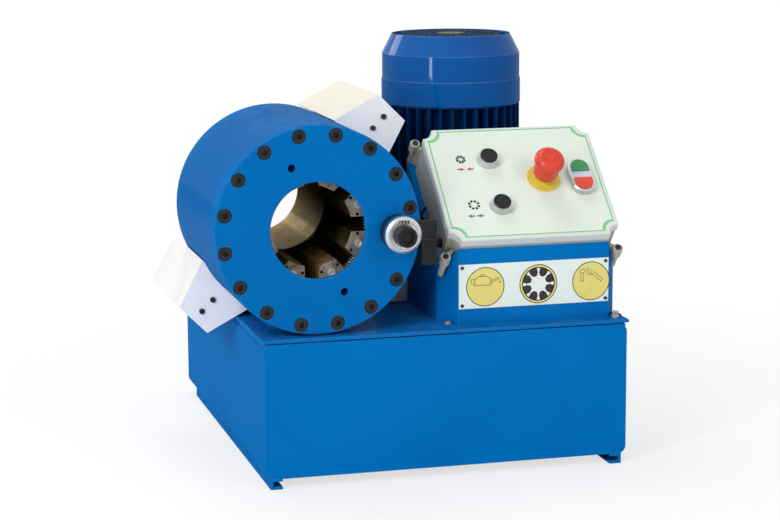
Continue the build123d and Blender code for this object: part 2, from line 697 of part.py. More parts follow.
GUARD_SKIN = GUARD_START + GUARD_WALL
BRACKET_TOP = GUARD_TOP - GUARD_WALL - SEAT_GAP
with BuildPart() as return_tubes:
    for angle in RETURN_ANGLES:
        with BuildSketch(turned_plane(GUARD_SKIN, angle)):
            with Locations((BRACKET_TOP, 0)):
                Rectangle(BRACKET_TOP - HEAD_R + BRACKET_ROOT, BRACKET_W, align=(Align.MAX, Align.CENTER))
            Circle(HEAD_R, mode=Mode.SUBTRACT)
            with Locations([(at, 0) for at in GUARD_SCREWS_AT]):
                Circle(M4_R + SLIDE_FIT, mode=Mode.SUBTRACT)
        extrude(amount=-(TUBE_START - GUARD_SKIN))
        with BuildSketch(turned_plane(TUBE_START, angle)):
            with Locations((RETURN_AT, 0)):
                Circle(TUBE_R)
        extrude(amount=-TUBE_L)
        with BuildSketch(turned_plane(TUBE_START, angle)):
            with Locations((RETURN_AT, 0)):
                Circle(TUBE_BORE_R)
        extrude(amount=-(TUBE_L - TUBE_GLAND_L), mode=Mode.SUBTRACT)
        with BuildSketch(turned_plane(TUBE_START, angle)):
            with Locations((RETURN_AT, 0)):
                Circle(ROD_R + SLIDE_FIT)
        extrude(amount=-TUBE_L, mode=Mode.SUBTRACT)
finish(return_tubes.part, "return_tubes")

GUARD_SKIN = GUARD_START + GUARD_WALL
BRACKET_TOP = GUARD_TOP - GUARD_WALL - SEAT_GAP

def guard(angle):
    """Folded sheet cover over one return unit, closed in front and open behind and below."""
    slope = (GUARD_FOOT_W - GUARD_TOP_W) / 2 / (GUARD_TOP - GUARD_FOOT)
    wall_side = GUARD_WALL * sqrt(1 + slope * slope)
    top = GUARD_TOP_W / 2
    foot = GUARD_FOOT_W / 2
    inner_top = top - wall_side + slope * GUARD_WALL
    inner_foot = foot - wall_side + slope * CUT_EXTRA
    with BuildPart() as cover:
        with BuildSketch(turned_plane(GUARD_START, angle)):
            with BuildLine():
                Polyline((GUARD_TOP, -top), (GUARD_TOP, top), (GUARD_FOOT, foot), (GUARD_FOOT, -foot),
                         (GUARD_TOP, -top))
            make_face()
        extrude(amount=-GUARD_L)
        with BuildSketch(turned_plane(GUARD_SKIN, angle)):
            with BuildLine():
                Polyline((GUARD_TOP - GUARD_WALL, -inner_top), (GUARD_TOP - GUARD_WALL, inner_top),
                         (GUARD_FOOT - CUT_EXTRA, inner_foot), (GUARD_FOOT - CUT_EXTRA, -inner_foot),
                         (GUARD_TOP - GUARD_WALL, -inner_top))
            make_face()
        extrude(amount=-GUARD_L, mode=Mode.SUBTRACT)
        with BuildSketch(head_plane(0)):
            Circle(HEAD_R + SEAT_GAP)
        extrude(amount=-(GUARD_START + GUARD_L), mode=Mode.SUBTRACT)
        with BuildSketch(turned_plane(GUARD_START, angle)):
            with Locations([(at, 0) for at in GUARD_SCREWS_AT]):
                Circle(M4_R + SLIDE_FIT)
        extrude(amount=-GUARD_WALL, mode=Mode.SUBTRACT)
    return cover.part


finish(guard(RETURN_ANGLES[0]), "guard_upper")
finish(guard(RETURN_ANGLES[1]), "guard_lower")

# ---------------------------------------------------------------- jaws
WEDGE = tan(radians(HALF_STEP))
FACE_HALF = JAW_FACE_W / 2
JAW_SIDE_OFFSET = FACE_HALF - JAW_OPEN * WEDGE
SHOULDER_BACK = CONE_NECK - (JAW_OUTER + SLIDE_FIT - PASSAGE_FLAT) / CONE_SLOPE
JAW_END = JAW_START + JAW_L
JAW_END_FLAT = PASSAGE_FLAT + (CONE_NECK - JAW_END) * CONE_SLOPE - SLIDE_FIT


def jaw(k):
    """Master jaw: wedge sides, hollow face, sloped back that rides on one flat of the cone."""
    angle = jaw_angle(k)
    side = turned_plane(0, angle)
    outer_half = JAW_OUTER * WEDGE + JAW_SIDE_OFFSET
    past_side = JAW_OUTER + CUT_EXTRA
    past_end = JAW_END + CUT_EXTRA
    with BuildPart() as block:
        with BuildSketch(turned_plane(JAW_START, angle)):
            with BuildLine():
                Line((JAW_OPEN, FACE_HALF), (JAW_OUTER, outer_half))
                Line((JAW_OUTER, outer_half), (JAW_OUTER, -outer_half))
                Line((JAW_OUTER, -outer_half), (JAW_OPEN, -FACE_HALF))
                ThreePointArc((JAW_OPEN, -FACE_HALF), (JAW_OPEN + JAW_FACE_HOLLOW, 0), (JAW_OPEN, FACE_HALF))
            make_face()
        extrude(amount=-JAW_L)
        profile = Plane(origin=side.origin, x_dir=side.x_dir, z_dir=side.x_dir.cross(Vector(0, 1, 0)))
        with BuildSketch(profile):
            with BuildLine():
                Polyline((past_side, SHOULDER_BACK), (JAW_OUTER, SHOULDER_BACK), (JAW_END_FLAT, JAW_END),
                         (JAW_END_FLAT, past_end), (past_side, past_end), (past_side, SHOULDER_BACK))
            make_face()
        extrude(amount=JAW_OUTER, both=True, mode=Mode.SUBTRACT)
        with BuildSketch(turned_plane(JAW_START, angle)):
            with Locations((DIE_PIN_AT, DIE_PIN_SIDE), (DIE_PIN_AT, -DIE_PIN_SIDE)):
                Circle(DIE_PIN_R)
        extrude(amount=-DIE_PIN_DEPTH, mode=Mode.SUBTRACT)
        with BuildSketch(turned_plane(JAW_START, angle)):
            with Locations((DIE_BOLT_AT, 0)):
                Circle(DIE_BOLT_R)
        extrude(amount=DIE_BOLT_H)
        with BuildSketch(turned_plane(JAW_START - DIE_BOLT_H, angle)):
            with Locations((DIE_BOLT_AT, 0)):
                RegularPolygon(radius=DIE_BOLT_KEY_R, side_count=6)
        extrude(amount=-DIE_BOLT_H * KEY_DEPTH_SHARE, mode=Mode.SUBTRACT)
        with BuildSketch(turned_plane(JAW_START + JAW_SLOT_AT, angle)):
            with Locations((JAW_OPEN, 0)):
                Rectangle(2 * JAW_SLOT_D, JAW_SLOT_L)
        extrude(amount=-JAW_SLOT_W, mode=Mode.SUBTRACT)
        for turn, depth in ((HALF_STEP, POCKET_SHORT), (-HALF_STEP, POCKET_LONG)):
            with BuildSketch(spring_plane(angle + turn, gap_half() * (-1 if turn > 0 else 1))):
                Circle(SPRING_R + SEAT_GAP)
            extrude(amount=-depth if turn > 0 else depth, mode=Mode.SUBTRACT)
    return block.part


def gap_half():
    """Half the open gap between two neighbouring jaws."""
    return JAW_TRAVEL * sin(radians(HALF_STEP)) + JAW_CLOSED_GAP


JAW_CLOSED_GAP = (JAW_OPEN - JAW_TRAVEL) * sin(radians(HALF_STEP)) - FACE_HALF * cos(radians(HALF_STEP))


def spring_plane(angle, offset):
    """Plane across the gap at this angle, facing round the head, shifted sideways by an offset."""
    spoke = turned_plane(SPRING_Y, angle)
    place = spoke.origin + spoke.x_dir * SPRING_AT + spoke.y_dir * offset
    return Plane(origin=place, x_dir=spoke.x_dir, z_dir=spoke.y_dir)


for k in range(JAWS):
    finish(jaw(k), "jaw_" + str(k + 1))

SPRING_L = 2 * gap_half() + 2 * POCKET_SHORT
SPRING_PITCH = SPRING_L / SPRING_COILS
SPRING_IN_R = SPRING_R - 2 * SPRING_WIRE
with BuildPart() as jaw_springs:
    for k in range(JAWS):
        base = spring_plane(JAW_STEP * k, -gap_half() - POCKET_SHORT)
        wave = [(SPRING_IN_R, 0)]
        for coil in range(SPRING_COILS):
            wave.append((SPRING_R - SPRING_WIRE, SPRING_PITCH * coil))
            wave.append((SPRING_R, SPRING_PITCH * (coil + 0.5)))
        wave.append((SPRING_R - SPRING_WIRE, SPRING_L))
        wave.append((SPRING_IN_R, SPRING_L))
        section = Plane(origin=base.origin, x_dir=base.x_dir, z_dir=base.x_dir.cross(base.z_dir))
        with BuildSketch(section):
            with BuildLine():
                Polyline(*wave, wave[0])
            make_face()
        revolve(axis=Axis(origin=base.origin, direction=base.z_dir))
finish(jaw_springs.part, "jaw_springs")

# ---------------------------------------------------------------- pedestal
LUG_U = BOX_W / 2 + LUG_OUT
LUG_V = BOX_H / 2 + LUG_OUT
LUG_WEB_L = LUG_OUT + (BOX_NOTCH_R + BOX_STEP + BOX_WALL) / sqrt(2)
LUG_PLACES = [(LUG_U, LUG_V), (-LUG_U, LUG_V), (-LUG_U, -LUG_V), (LUG_U, -LUG_V)]


def pedestal_body(inset):
    """Sheet-metal column with bevelled front corners and a seat cut for the tilted box."""
    half = PED_W / 2
    with BuildPart() as body:
        with BuildSketch(Plane.XY.offset(LID_TOP)) as foot:
            with BuildLine():
                Polyline(
                    (PANEL_X - half + PED_BEVEL_W, PED_FRONT), (PANEL_X + half - PED_BEVEL_W, PED_FRONT),
                    (PANEL_X + half, PED_FRONT + PED_BEVEL), (PANEL_X + half, PED_BACK),
                    (PANEL_X - half, PED_BACK), (PANEL_X - half, PED_FRONT + PED_BEVEL),
                    (PANEL_X - half + PED_BEVEL_W, PED_FRONT))
            make_face()
            if inset > 0:
                offset(amount=-inset, kind=Kind.INTERSECTION, mode=Mode.REPLACE)
        extrude(amount=PED_HEIGHT)
        with BuildSketch(panel_plane(-BOX_T - inset)):
            with Locations((0, -BOX_H / 2 + BOX_STEP - SEAT_GAP - inset)):
                Rectangle(2 * PED_W, 2 * PED_HEIGHT, align=(Align.CENTER, Align.MIN))
        extrude(amount=PED_HEIGHT, mode=Mode.SUBTRACT)
    return body.part


PED_FRONT_TOP = HEAD_Z - PANEL_DROP - (PED_FRONT - PANEL_FRONT) / tan(radians(90 - PANEL_TILT))
PLATE_TOP = PED_FRONT_TOP - PLATE_DROP
PLATE_HOLES = [
    (side * (PLATE_W / 2 - PLATE_SCREW_IN), level) for side in (-1, 1)
    for level in (-PLATE_SCREW_IN, -PLATE_H + PLATE_SCREW_IN)]


def front_plate_plane(forward):
    """Plane on the pedestal's front face, origin at the middle of the label plate's upper edge."""
    return Plane(origin=(PANEL_X, PED_FRONT - forward, PLATE_TOP), x_dir=(1, 0, 0), z_dir=(0, -1, 0))


with BuildPart() as pedestal:
    add(pedestal_body(0))
    add(pedestal_body(PED_WALL), mode=Mode.SUBTRACT)
    with BuildSketch(Plane.XY.offset(LID_TOP)):
        for place in FOOT_SCREWS:
            with Locations(place):
                Rectangle(2 * FOOT_IN, 2 * FOOT_IN)
                Circle(M6_R + SLIDE_FIT, mode=Mode.SUBTRACT)
    extrude(amount=PED_TAB_T)
    with BuildSketch(panel_plane(-BOX_T)):
        with Locations(LUG_PLACES[2:]):
            Circle(LUG_R + SEAT_GAP)
    extrude(amount=BOX_T, mode=Mode.SUBTRACT)
    with BuildSketch(panel_plane(-BOX_T)):
        with Locations(LUG_PLACES):
            Circle(M4_R + SLIDE_FIT)
    extrude(amount=-2 * PED_WALL, mode=Mode.SUBTRACT)
    with BuildSketch(front_plate_plane(0)):
        with Locations(PLATE_HOLES):
            Circle(M3_R + SLIDE_FIT)
    extrude(amount=-PED_WALL, mode=Mode.SUBTRACT)
finish(pedestal.part, "pedestal")

with BuildPart() as label_plate:
    with BuildSketch(front_plate_plane(0)):
        Rectangle(PLATE_W, PLATE_H, align=(Align.CENTER, Align.MAX))
        with Locations(PLATE_HOLES):
            Circle(M3_R + SLIDE_FIT, mode=Mode.SUBTRACT)
    extrude(amount=PLATE_T)
finish(label_plate.part, "label_plate")

# ---------------------------------------------------------------- control box


def box_outline(inset):
    """Rectangle with hollow quarter-round corners that leave room for the fixing lugs."""
    Rectangle(BOX_W - 2 * inset, BOX_H - 2 * inset)
    with Locations([(x * (BOX_W / 2), y * (BOX_H / 2)) for x in (-1, 1) for y in (-1, 1)]):
        Circle(BOX_NOTCH_R + inset, mode=Mode.SUBTRACT)


with BuildPart() as enclosure_base:
    with BuildSketch(panel_plane(-BOX_T)):
        box_outline(BOX_STEP)
    extrude(amount=BOX_BASE_T)
    with BuildSketch(panel_plane(-BOX_T + BOX_WALL)):
        box_outline(BOX_STEP + BOX_WALL)
    extrude(amount=BOX_BASE_T, mode=Mode.SUBTRACT)
    with BuildSketch(panel_plane(-BOX_T)):
        with Locations(LUG_PLACES):
            Circle(LUG_BOSS_R)
    extrude(amount=BOX_T - LUG_TOP)
    with BuildSketch(panel_plane(-LUG_TOP)):
        with Locations(LUG_PLACES):
            Circle(LUG_R)
    extrude(amount=-LUG_L)
    for place in LUG_PLACES:
        toward = (-1 if place[0] > 0 else 1, -1 if place[1] > 0 else 1)
        with BuildSketch(panel_plane(-BOX_T)):
            with Locations((place[0] + toward[0] * LUG_WEB_L / 2, place[1] + toward[1] * LUG_WEB_L / 2)):
                Rectangle(LUG_WEB_L * sqrt(2), LUG_WEB_W, rotation=45 * toward[0] * toward[1])
        extrude(amount=BOX_T - LUG_TOP - LUG_WEB_DROP)
    with BuildSketch(panel_plane(-BOX_T)):
        with Locations(LUG_PLACES):
            Circle(M4_R + SLIDE_FIT)
    extrude(amount=BOX_T, mode=Mode.SUBTRACT)
finish(enclosure_base.part, "enclosure_base")

PANEL_OUT = Axis(origin=(0, 0, 0), direction=panel_plane(0).z_dir)
BUTTON_PLACES = [on_panel(CLOSE_AT), on_panel(OPEN_AT)]
TWIN_PLACE = on_panel(TWIN_AT)
ESTOP_PLACE = on_panel(ESTOP_AT)
TWIN_IN_R = TWIN_W / 2 - TWIN_RIM

with BuildPart() as enclosure_lid:
    with BuildSketch(panel_plane(-BOX_LID_T)):
        box_outline(0)
    extrude(amount=BOX_LID_T)
    chamfer(enclosure_lid.faces().sort_by(PANEL_OUT)[-1].edges(), BOX_CHAMFER)
    with BuildSketch(panel_plane(-BOX_LID_T)):
        box_outline(BOX_STEP + BOX_WALL)
    extrude(amount=BOX_LID_T - SKIN_T, mode=Mode.SUBTRACT)
    with BuildSketch(panel_plane(0)):
        with Locations(BUTTON_PLACES):
            Circle(CAP_STEM_R + SEAT_GAP)
        with Locations(ESTOP_PLACE):
            Circle(ESTOP_STEM_R + SEAT_GAP)
        with Locations([(TWIN_PLACE[0], TWIN_PLACE[1] + side * TWIN_STEM_AT) for side in (-1, 1)]):
            Circle(TWIN_STEM_R + SEAT_GAP)
    extrude(amount=-BOX_LID_T, mode=Mode.SUBTRACT)
finish(enclosure_lid.part, "enclosure_lid")

with BuildPart() as button_bezels:
    for place in BUTTON_PLACES:
        with BuildSketch(panel_plane(0)):
            with Locations(place):
                Circle(BEZEL_R)
        with BuildSketch(panel_plane(BEZEL_H)):
            with Locations(place):
                Circle(BEZEL_R - BEZEL_SLOPE)
        loft()
    with BuildSketch(panel_plane(0)):
        with Locations(BUTTON_PLACES):
            Circle(CAP_R + SLIDE_FIT)
    extrude(amount=BEZEL_H, mode=Mode.SUBTRACT)
finish(button_bezels.part, "button_bezels")


def push_button(place, label):
    """Round cap on a plunger that runs through the lid."""
    with BuildPart() as cap:
        with BuildSketch(panel_plane(CAP_FLOOR)):
            with Locations(place):
                Circle(CAP_R)
        extrude(amount=BEZEL_H + CAP_PROUD - CAP_FLOOR)
        chamfer(cap.faces().sort_by(PANEL_OUT)[-1].edges(), CAP_CHAMFER)
        with BuildSketch(panel_plane(CAP_FLOOR)):
            with Locations(place):
                Circle(CAP_STEM_R)
        extrude(amount=-CAP_STEM - CAP_TRAVEL)
    finish(cap.part, label)


push_button(BUTTON_PLACES[0], "close_button")
push_button(BUTTON_PLACES[1], "open_button")

with BuildPart() as twin_bezel:
    with BuildSketch(panel_plane(0)):
        with Locations(TWIN_PLACE):
            SlotOverall(TWIN_L, TWIN_W, rotation=90)
            SlotOverall(TWIN_L - 2 * TWIN_RIM, TWIN_W - 2 * TWIN_RIM, rotation=90, mode=Mode.SUBTRACT)
    extrude(amount=TWIN_H)
    bezel_top = twin_bezel.faces().sort_by(PANEL_OUT)[-1]
    chamfer(bezel_top.outer_wire().edges(), TWIN_CHAMFER)
finish(twin_bezel.part, "twin_bezel")


def twin_piece(side, label):
    """Half-capsule button of the twin unit; side 1 is the upper one and side -1 the lower one."""
    level = TWIN_LENS_L / 2 + SLIDE_FIT
    with BuildPart() as piece:
        with BuildSketch(panel_plane(CAP_FLOOR)):
            with Locations(TWIN_PLACE):
                SlotOverall(TWIN_L - 2 * TWIN_RIM - 2 * SLIDE_FIT, 2 * (TWIN_IN_R - SLIDE_FIT), rotation=90)
            with Locations((TWIN_PLACE[0], TWIN_PLACE[1] + side * level)):
                Rectangle(TWIN_W, TWIN_L, align=(Align.CENTER, Align.MIN if side > 0 else Align.MAX),
                          mode=Mode.INTERSECT)
        extrude(amount=TWIN_H + TWIN_PROUD - CAP_FLOOR)
        with BuildSketch(panel_plane(CAP_FLOOR)):
            with Locations((TWIN_PLACE[0], TWIN_PLACE[1] + side * TWIN_STEM_AT)):
                Circle(TWIN_STEM_R)
        extrude(amount=-CAP_STEM - CAP_TRAVEL)
    finish(piece.part, label)


twin_piece(1, "start_button")
twin_piece(-1, "stop_button")

with BuildPart() as signal_lens:
    with BuildSketch(panel_plane(0)):
        with Locations(TWIN_PLACE):
            Rectangle(2 * TWIN_IN_R, TWIN_LENS_L)
    extrude(amount=TWIN_H)
finish(signal_lens.part, "signal_lens")

with BuildPart() as estop_base:
    with BuildSketch(panel_plane(0)):
        with Locations(ESTOP_PLACE):
            Circle(ESTOP_DISC_R)
    extrude(amount=ESTOP_DISC_T)
    with BuildSketch(panel_plane(ESTOP_DISC_T)):
        with Locations(ESTOP_PLACE):
            Circle(ESTOP_COLLAR_R)
    extrude(amount=ESTOP_COLLAR_H - ESTOP_DISC_T)
    with BuildSketch(panel_plane(0)):
        with Locations(ESTOP_PLACE):
            Circle(ESTOP_STEM_R + SLIDE_FIT)
    extrude(amount=ESTOP_COLLAR_H, mode=Mode.SUBTRACT)
finish(estop_base.part, "estop_base")

ESTOP_LIFT = ESTOP_COLLAR_H + ESTOP_TRAVEL + ESTOP_FREE
with BuildPart() as estop_stem:
    with BuildSketch(panel_plane(-CAP_STEM)):
        with Locations(ESTOP_PLACE):
            Circle(ESTOP_STEM_R)
    extrude(amount=CAP_STEM + ESTOP_LIFT)
    with BuildSketch(panel_plane(ESTOP_LIFT)):
        with Locations(ESTOP_PLACE):
            Circle(ESTOP_SPIGOT_R)
    extrude(amount=ESTOP_SPIGOT_L)
finish(estop_stem.part, "estop_stem")

SPIGOT_HOLE_R = ESTOP_SPIGOT_R + SLIDE_FIT
SPIGOT_HOLE_L = ESTOP_SPIGOT_L + SLIDE_FIT
estop_side = panel_plane(ESTOP_LIFT)
estop_origin = estop_side.origin + estop_side.x_dir * ESTOP_PLACE[0] + estop_side.y_dir * ESTOP_PLACE[1]
with BuildPart() as estop_head:
    section = Plane(origin=estop_origin, x_dir=estop_side.x_dir, z_dir=-estop_side.y_dir)
    with BuildSketch(section):
        with BuildLine():
            Polyline((SPIGOT_HOLE_R, 0), (ESTOP_SKIRT_R, 0), (ESTOP_WAIST_R, ESTOP_WAIST_H),
                     (ESTOP_HEAD_R, ESTOP_BULGE_H))
            Spline((ESTOP_HEAD_R, ESTOP_BULGE_H), (ESTOP_SHOULDER_R, ESTOP_SHOULDER_H),
                   (ESTOP_CROWN_R, ESTOP_CROWN_H))
            Polyline((ESTOP_CROWN_R, ESTOP_CROWN_H), (ESTOP_TOP_R, ESTOP_HEAD_H), (0, ESTOP_HEAD_H),
                     (0, SPIGOT_HOLE_L), (SPIGOT_HOLE_R, SPIGOT_HOLE_L), (SPIGOT_HOLE_R, 0))
        make_face()
    revolve(axis=Axis(origin=estop_origin, direction=estop_side.z_dir))
finish(estop_head.part, "estop_head")

# ---------------------------------------------------------------- size-setting dial
DIAL_CENTRE = (DIAL_X, -DIAL_DROP)
DIAL_FACE = -(DIAL_PLATE_T + DIAL_BODY_L + DIAL_RING_L)

with BuildPart() as dial_bracket:
    with BuildSketch(head_plane(0)):
        with Locations(DIAL_CENTRE):
            Rectangle(SWITCH_IN + SWITCH_W - DIAL_X, DIAL_PLATE_H, align=(Align.MIN, Align.CENTER))
            Circle(DIAL_PLATE_H / 2)
            Circle(DIAL_NOSE_R + SLIDE_FIT, mode=Mode.SUBTRACT)
    extrude(amount=DIAL_PLATE_T)
finish(dial_bracket.part, "dial_bracket")

with BuildPart() as limit_switch:
    with BuildSketch(head_plane(0)):
        with Locations((SWITCH_IN, -SWITCH_DROP)):
            Rectangle(SWITCH_W, SWITCH_H, align=(Align.MIN, Align.MAX))
    extrude(amount=-SWITCH_D)
    fillet(limit_switch.edges().filter_by(Axis.Y), SWITCH_EDGE_R)
    with BuildSketch(Plane.XY.offset(HEAD_Z - SWITCH_DROP)):
        with Locations((HEAD_X + SWITCH_IN + SWITCH_PIN_X, HEAD_FRONT + SWITCH_PIN_Y)):
            Circle(SWITCH_PIN_R)
    extrude(amount=SWITCH_PIN_H)
finish(limit_switch.part, "limit_switch")

with BuildPart() as dial_housing:
    with BuildSketch(head_plane(DIAL_NOSE_L)):
        with Locations(DIAL_CENTRE):
            Circle(DIAL_NOSE_R)
    extrude(amount=DIAL_NOSE_L + DIAL_PLATE_T)
    with BuildSketch(head_plane(-DIAL_PLATE_T)):
        with Locations(DIAL_CENTRE):
            Circle(DIAL_BODY_R)
    extrude(amount=DIAL_BODY_L)
    with BuildSketch(head_plane(-DIAL_PLATE_T - DIAL_BODY_L)):
        with Locations(DIAL_CENTRE):
            Circle(DIAL_RING_R)
    extrude(amount=DIAL_RING_L)
    chamfer(dial_housing.faces().sort_by(Axis.Y)[0].outer_wire().edges(), DIAL_RING_CHAMFER)
    with BuildSketch(head_plane(DIAL_FACE)):
        with Locations((DIAL_X, DIAL_WINDOW_RISE - DIAL_DROP)):
            RectangleRounded(DIAL_WINDOW_W, DIAL_WINDOW_H, DIAL_WINDOW_R)
    extrude(amount=-DIAL_WINDOW_D, mode=Mode.SUBTRACT)
    with BuildSketch(head_plane(DIAL_FACE)):
        with Locations(DIAL_CENTRE):
            Circle(KNOB_SHAFT_R + SLIDE_FIT)
    extrude(amount=-KNOB_SHAFT_L, mode=Mode.SUBTRACT)
finish(dial_housing.part, "dial_housing")

with BuildPart() as dial_knob:
    with BuildSketch(head_plane(DIAL_FACE - SEAT_GAP)):
        with Locations(DIAL_CENTRE):
            Circle(KNOB_R)
    extrude(amount=KNOB_L)
    chamfer(dial_knob.faces().sort_by(Axis.Y)[0].edges(), KNOB_CHAMFER)
    with BuildSketch(head_plane(DIAL_FACE - SEAT_GAP - KNOB_L)):
        with Locations(DIAL_CENTRE):
            Circle(KNOB_SOCKET_R)
    extrude(amount=-KNOB_SOCKET_D, mode=Mode.SUBTRACT)
    with BuildSketch(head_plane(DIAL_FACE)):
        with Locations(DIAL_CENTRE):
            Circle(KNOB_SHAFT_R)
    extrude(amount=HOLE_EXTRA - KNOB_SHAFT_L)
    with BuildSketch(head_plane(DIAL_FACE)):
        with Locations(DIAL_CENTRE):
            Circle(KNOB_SHAFT_R)
    extrude(amount=SEAT_GAP)
finish(dial_knob.part, "dial_knob")

# Gland on the left wall of the box, and the switch cable that runs into it
gland_level = panel_plane(-GLAND_DEPTH)
gland_place = gland_level.origin + gland_level.y_dir * (GLAND_RISE - BOX_H / 2)
GLAND_WALL_X = PANEL_X - BOX_W / 2 + BOX_STEP
gland_wall = Plane(origin=(GLAND_WALL_X, gland_place.Y, gland_place.Z), x_dir=(0, 1, 0), z_dir=(-1, 0, 0))
with BuildPart() as cable_gland:
    with BuildSketch(gland_wall):
        RegularPolygon(radius=GLAND_R, side_count=6)
    extrude(amount=GLAND_HEX_L)
    with BuildSketch(gland_wall):
        Circle(GLAND_NECK_R)
    extrude(amount=GLAND_L)
finish(cable_gland.part, "cable_gland")

CABLE_START = Vector(HEAD_X + SWITCH_IN + CABLE_X, HEAD_FRONT + CABLE_Y, HEAD_Z - SWITCH_DROP)
CABLE_END = Vector(GLAND_WALL_X - GLAND_L, gland_place.Y, gland_place.Z)
CABLE_POINTS = [CABLE_START + Vector(*step) for step in CABLE_STEPS]
CABLE_POINTS += [CABLE_END - Vector(CABLE_LEVEL_L, 0, 0), CABLE_END]


def cable_path(points):
    """Straight runs joined by the largest tangent arcs that two neighbouring runs allow."""
    last = points[0]
    with BuildLine() as path:
        for before, corner, after in zip(points, points[1:], points[2:]):
            back = before - corner
            ahead = after - corner
            turn = radians(180 - back.get_angle(ahead))
            cut = ARC_SHARE * min(back.length, ahead.length)
            bend = cut / tan(turn / 2)
            print("cable bend radius", round(bend, 1), "mm, turn", round(degrees(turn)), "degrees")
            entry = corner + back.normalized() * cut
            leave = corner + ahead.normalized() * cut
            Line(last, entry)
            TangentArc(entry, leave, tangent=corner - entry)
            last = leave
        Line(last, points[-1])
    return path.wire()


with BuildPart() as dial_cable:
    route = cable_path(CABLE_POINTS)
    add(route)
    with BuildSketch(Plane(origin=route @ 0, z_dir=route % 0)):
        Circle(CABLE_R)
    sweep(path=route)
finish(dial_cable.part, "dial_cable")

# ---------------------------------------------------------------- motor and pump
FRAME_START = LID_TOP + FLANGE_FOOT_H
SHIELD_START = FRAME_START + FRAME_L
HOOD_START = SHIELD_START + SHIELD_H
HOOD_TOP = HOOD_START + HOOD_H
HOOD_SHOULDER = HOOD_START + HOOD_SHOULDER_H
FAN_START = HOOD_START + FAN_LIFT
MOTOR_AXIS = Axis(origin=(MOTOR_X, MOTOR_Y, 0), direction=(0, 0, 1))


def motor_plane(level):
    """Level plane with its origin on the motor axis."""
    return Plane(origin=(MOTOR_X, MOTOR_Y, level))


MOTOR_SECTION = Plane(origin=(MOTOR_X, MOTOR_Y, 0), x_dir=(1, 0, 0), z_dir=(0, -1, 0))

with BuildPart() as motor_flange:
    with BuildSketch(motor_plane(LID_TOP)):
        Circle(FOOT_FLANGE_R)
        Circle(SHAFT_R + SLIDE_FIT, mode=Mode.SUBTRACT)
    extrude(amount=FLANGE_FOOT_H)
finish(motor_flange.part, "motor_flange")

with BuildPart() as motor_frame:
    with BuildSketch(motor_plane(FRAME_START)):
        Circle(MOTOR_CORE_R)
        with PolarLocations(MOTOR_R - FIN_L / 2, FINS, start_angle=180.0 / FINS):
            Rectangle(FIN_L, FIN_T)
        Circle(STATOR_BORE_R, mode=Mode.SUBTRACT)
    extrude(amount=FRAME_L)
finish(motor_frame.part, "motor_frame")

with BuildPart() as motor_end_shield:
    with BuildSketch(motor_plane(SHIELD_START)):
        Circle(SHIELD_R)
    extrude(amount=SHIELD_H)
    chamfer(motor_end_shield.faces().sort_by(Axis.Z)[0].edges(), SHIELD_CHAMFER)
    with BuildSketch(motor_plane(SHIELD_START + SHIELD_FLOOR)):
        Circle(SHIELD_IN_R)
        Circle(SHIELD_HUB_R, mode=Mode.SUBTRACT)
    extrude(amount=SHIELD_H, mode=Mode.SUBTRACT)
    with BuildSketch(motor_plane(SHIELD_START)):
        Circle(SHAFT_R + SLIDE_FIT)
    extrude(amount=SHIELD_H, mode=Mode.SUBTRACT)
finish(motor_end_shield.part, "motor_end_shield")

with BuildPart() as fan_cover:
    with BuildSketch(MOTOR_SECTION):
        with BuildLine():
            Polyline(
                (MOTOR_R, HOOD_START), (MOTOR_R, HOOD_SHOULDER), (HOOD_TOP_R, HOOD_TOP), (0, HOOD_TOP),
                (0, HOOD_TOP - HOOD_WALL), (HOOD_TOP_R - HOOD_WALL, HOOD_TOP - HOOD_WALL),
                (MOTOR_R - HOOD_WALL, HOOD_SHOULDER - HOOD_WALL), (MOTOR_R - HOOD_WALL, HOOD_START),
                (MOTOR_R, HOOD_START))
        make_face()
    revolve(axis=MOTOR_AXIS)
    ring_step = (HOOD_TOP_R - HOOD_RIM_W - HOOD_HUB_R) / HOOD_RINGS
    with BuildSketch(motor_plane(HOOD_TOP)):
        for ring in range(HOOD_RINGS):
            Circle(HOOD_HUB_R + ring_step * (ring + 1))
            Circle(HOOD_HUB_R + ring_step * (ring + 1) - HOOD_SLOT_W, mode=Mode.SUBTRACT)
        with PolarLocations(0, HOOD_SECTORS):
            with Locations((HOOD_TOP_R / 2, 0)):
                Rectangle(HOOD_TOP_R, HOOD_RIB_W, mode=Mode.SUBTRACT)
    extrude(amount=-HOOD_WALL * 2, mode=Mode.SUBTRACT)
finish(fan_cover.part, "fan_cover")

ROTOR_START = FRAME_START + ROTOR_INSET
SHAFT_BOTTOM = GASKET_TOP - SHAFT_DROP
with BuildPart() as rotor_shaft:
    with BuildSketch(motor_plane(SHAFT_BOTTOM)):
        Circle(SHAFT_R)
    extrude(amount=FAN_START + FAN_H - SHAFT_BOTTOM)
    with BuildSketch(motor_plane(ROTOR_START)):
        Circle(ROTOR_R)
    extrude(amount=FRAME_L - 2 * ROTOR_INSET)
finish(rotor_shaft.part, "rotor_shaft")

with BuildPart() as cooling_fan:
    with BuildSketch(motor_plane(FAN_START)):
        Circle(FAN_R)
    extrude(amount=FAN_DISC_T)
    with BuildSketch(motor_plane(FAN_START)):
        Circle(FAN_HUB_R)
        with PolarLocations((FAN_R + SHAFT_R) / 2, FAN_BLADES):
            Rectangle(FAN_R - SHAFT_R - BLADE_GAP, BLADE_T)
    extrude(amount=FAN_H)
    with BuildSketch(motor_plane(FAN_START)):
        Circle(SHAFT_R + SLIDE_FIT)
    extrude(amount=FAN_H, mode=Mode.SUBTRACT)
finish(cooling_fan.part, "cooling_fan")

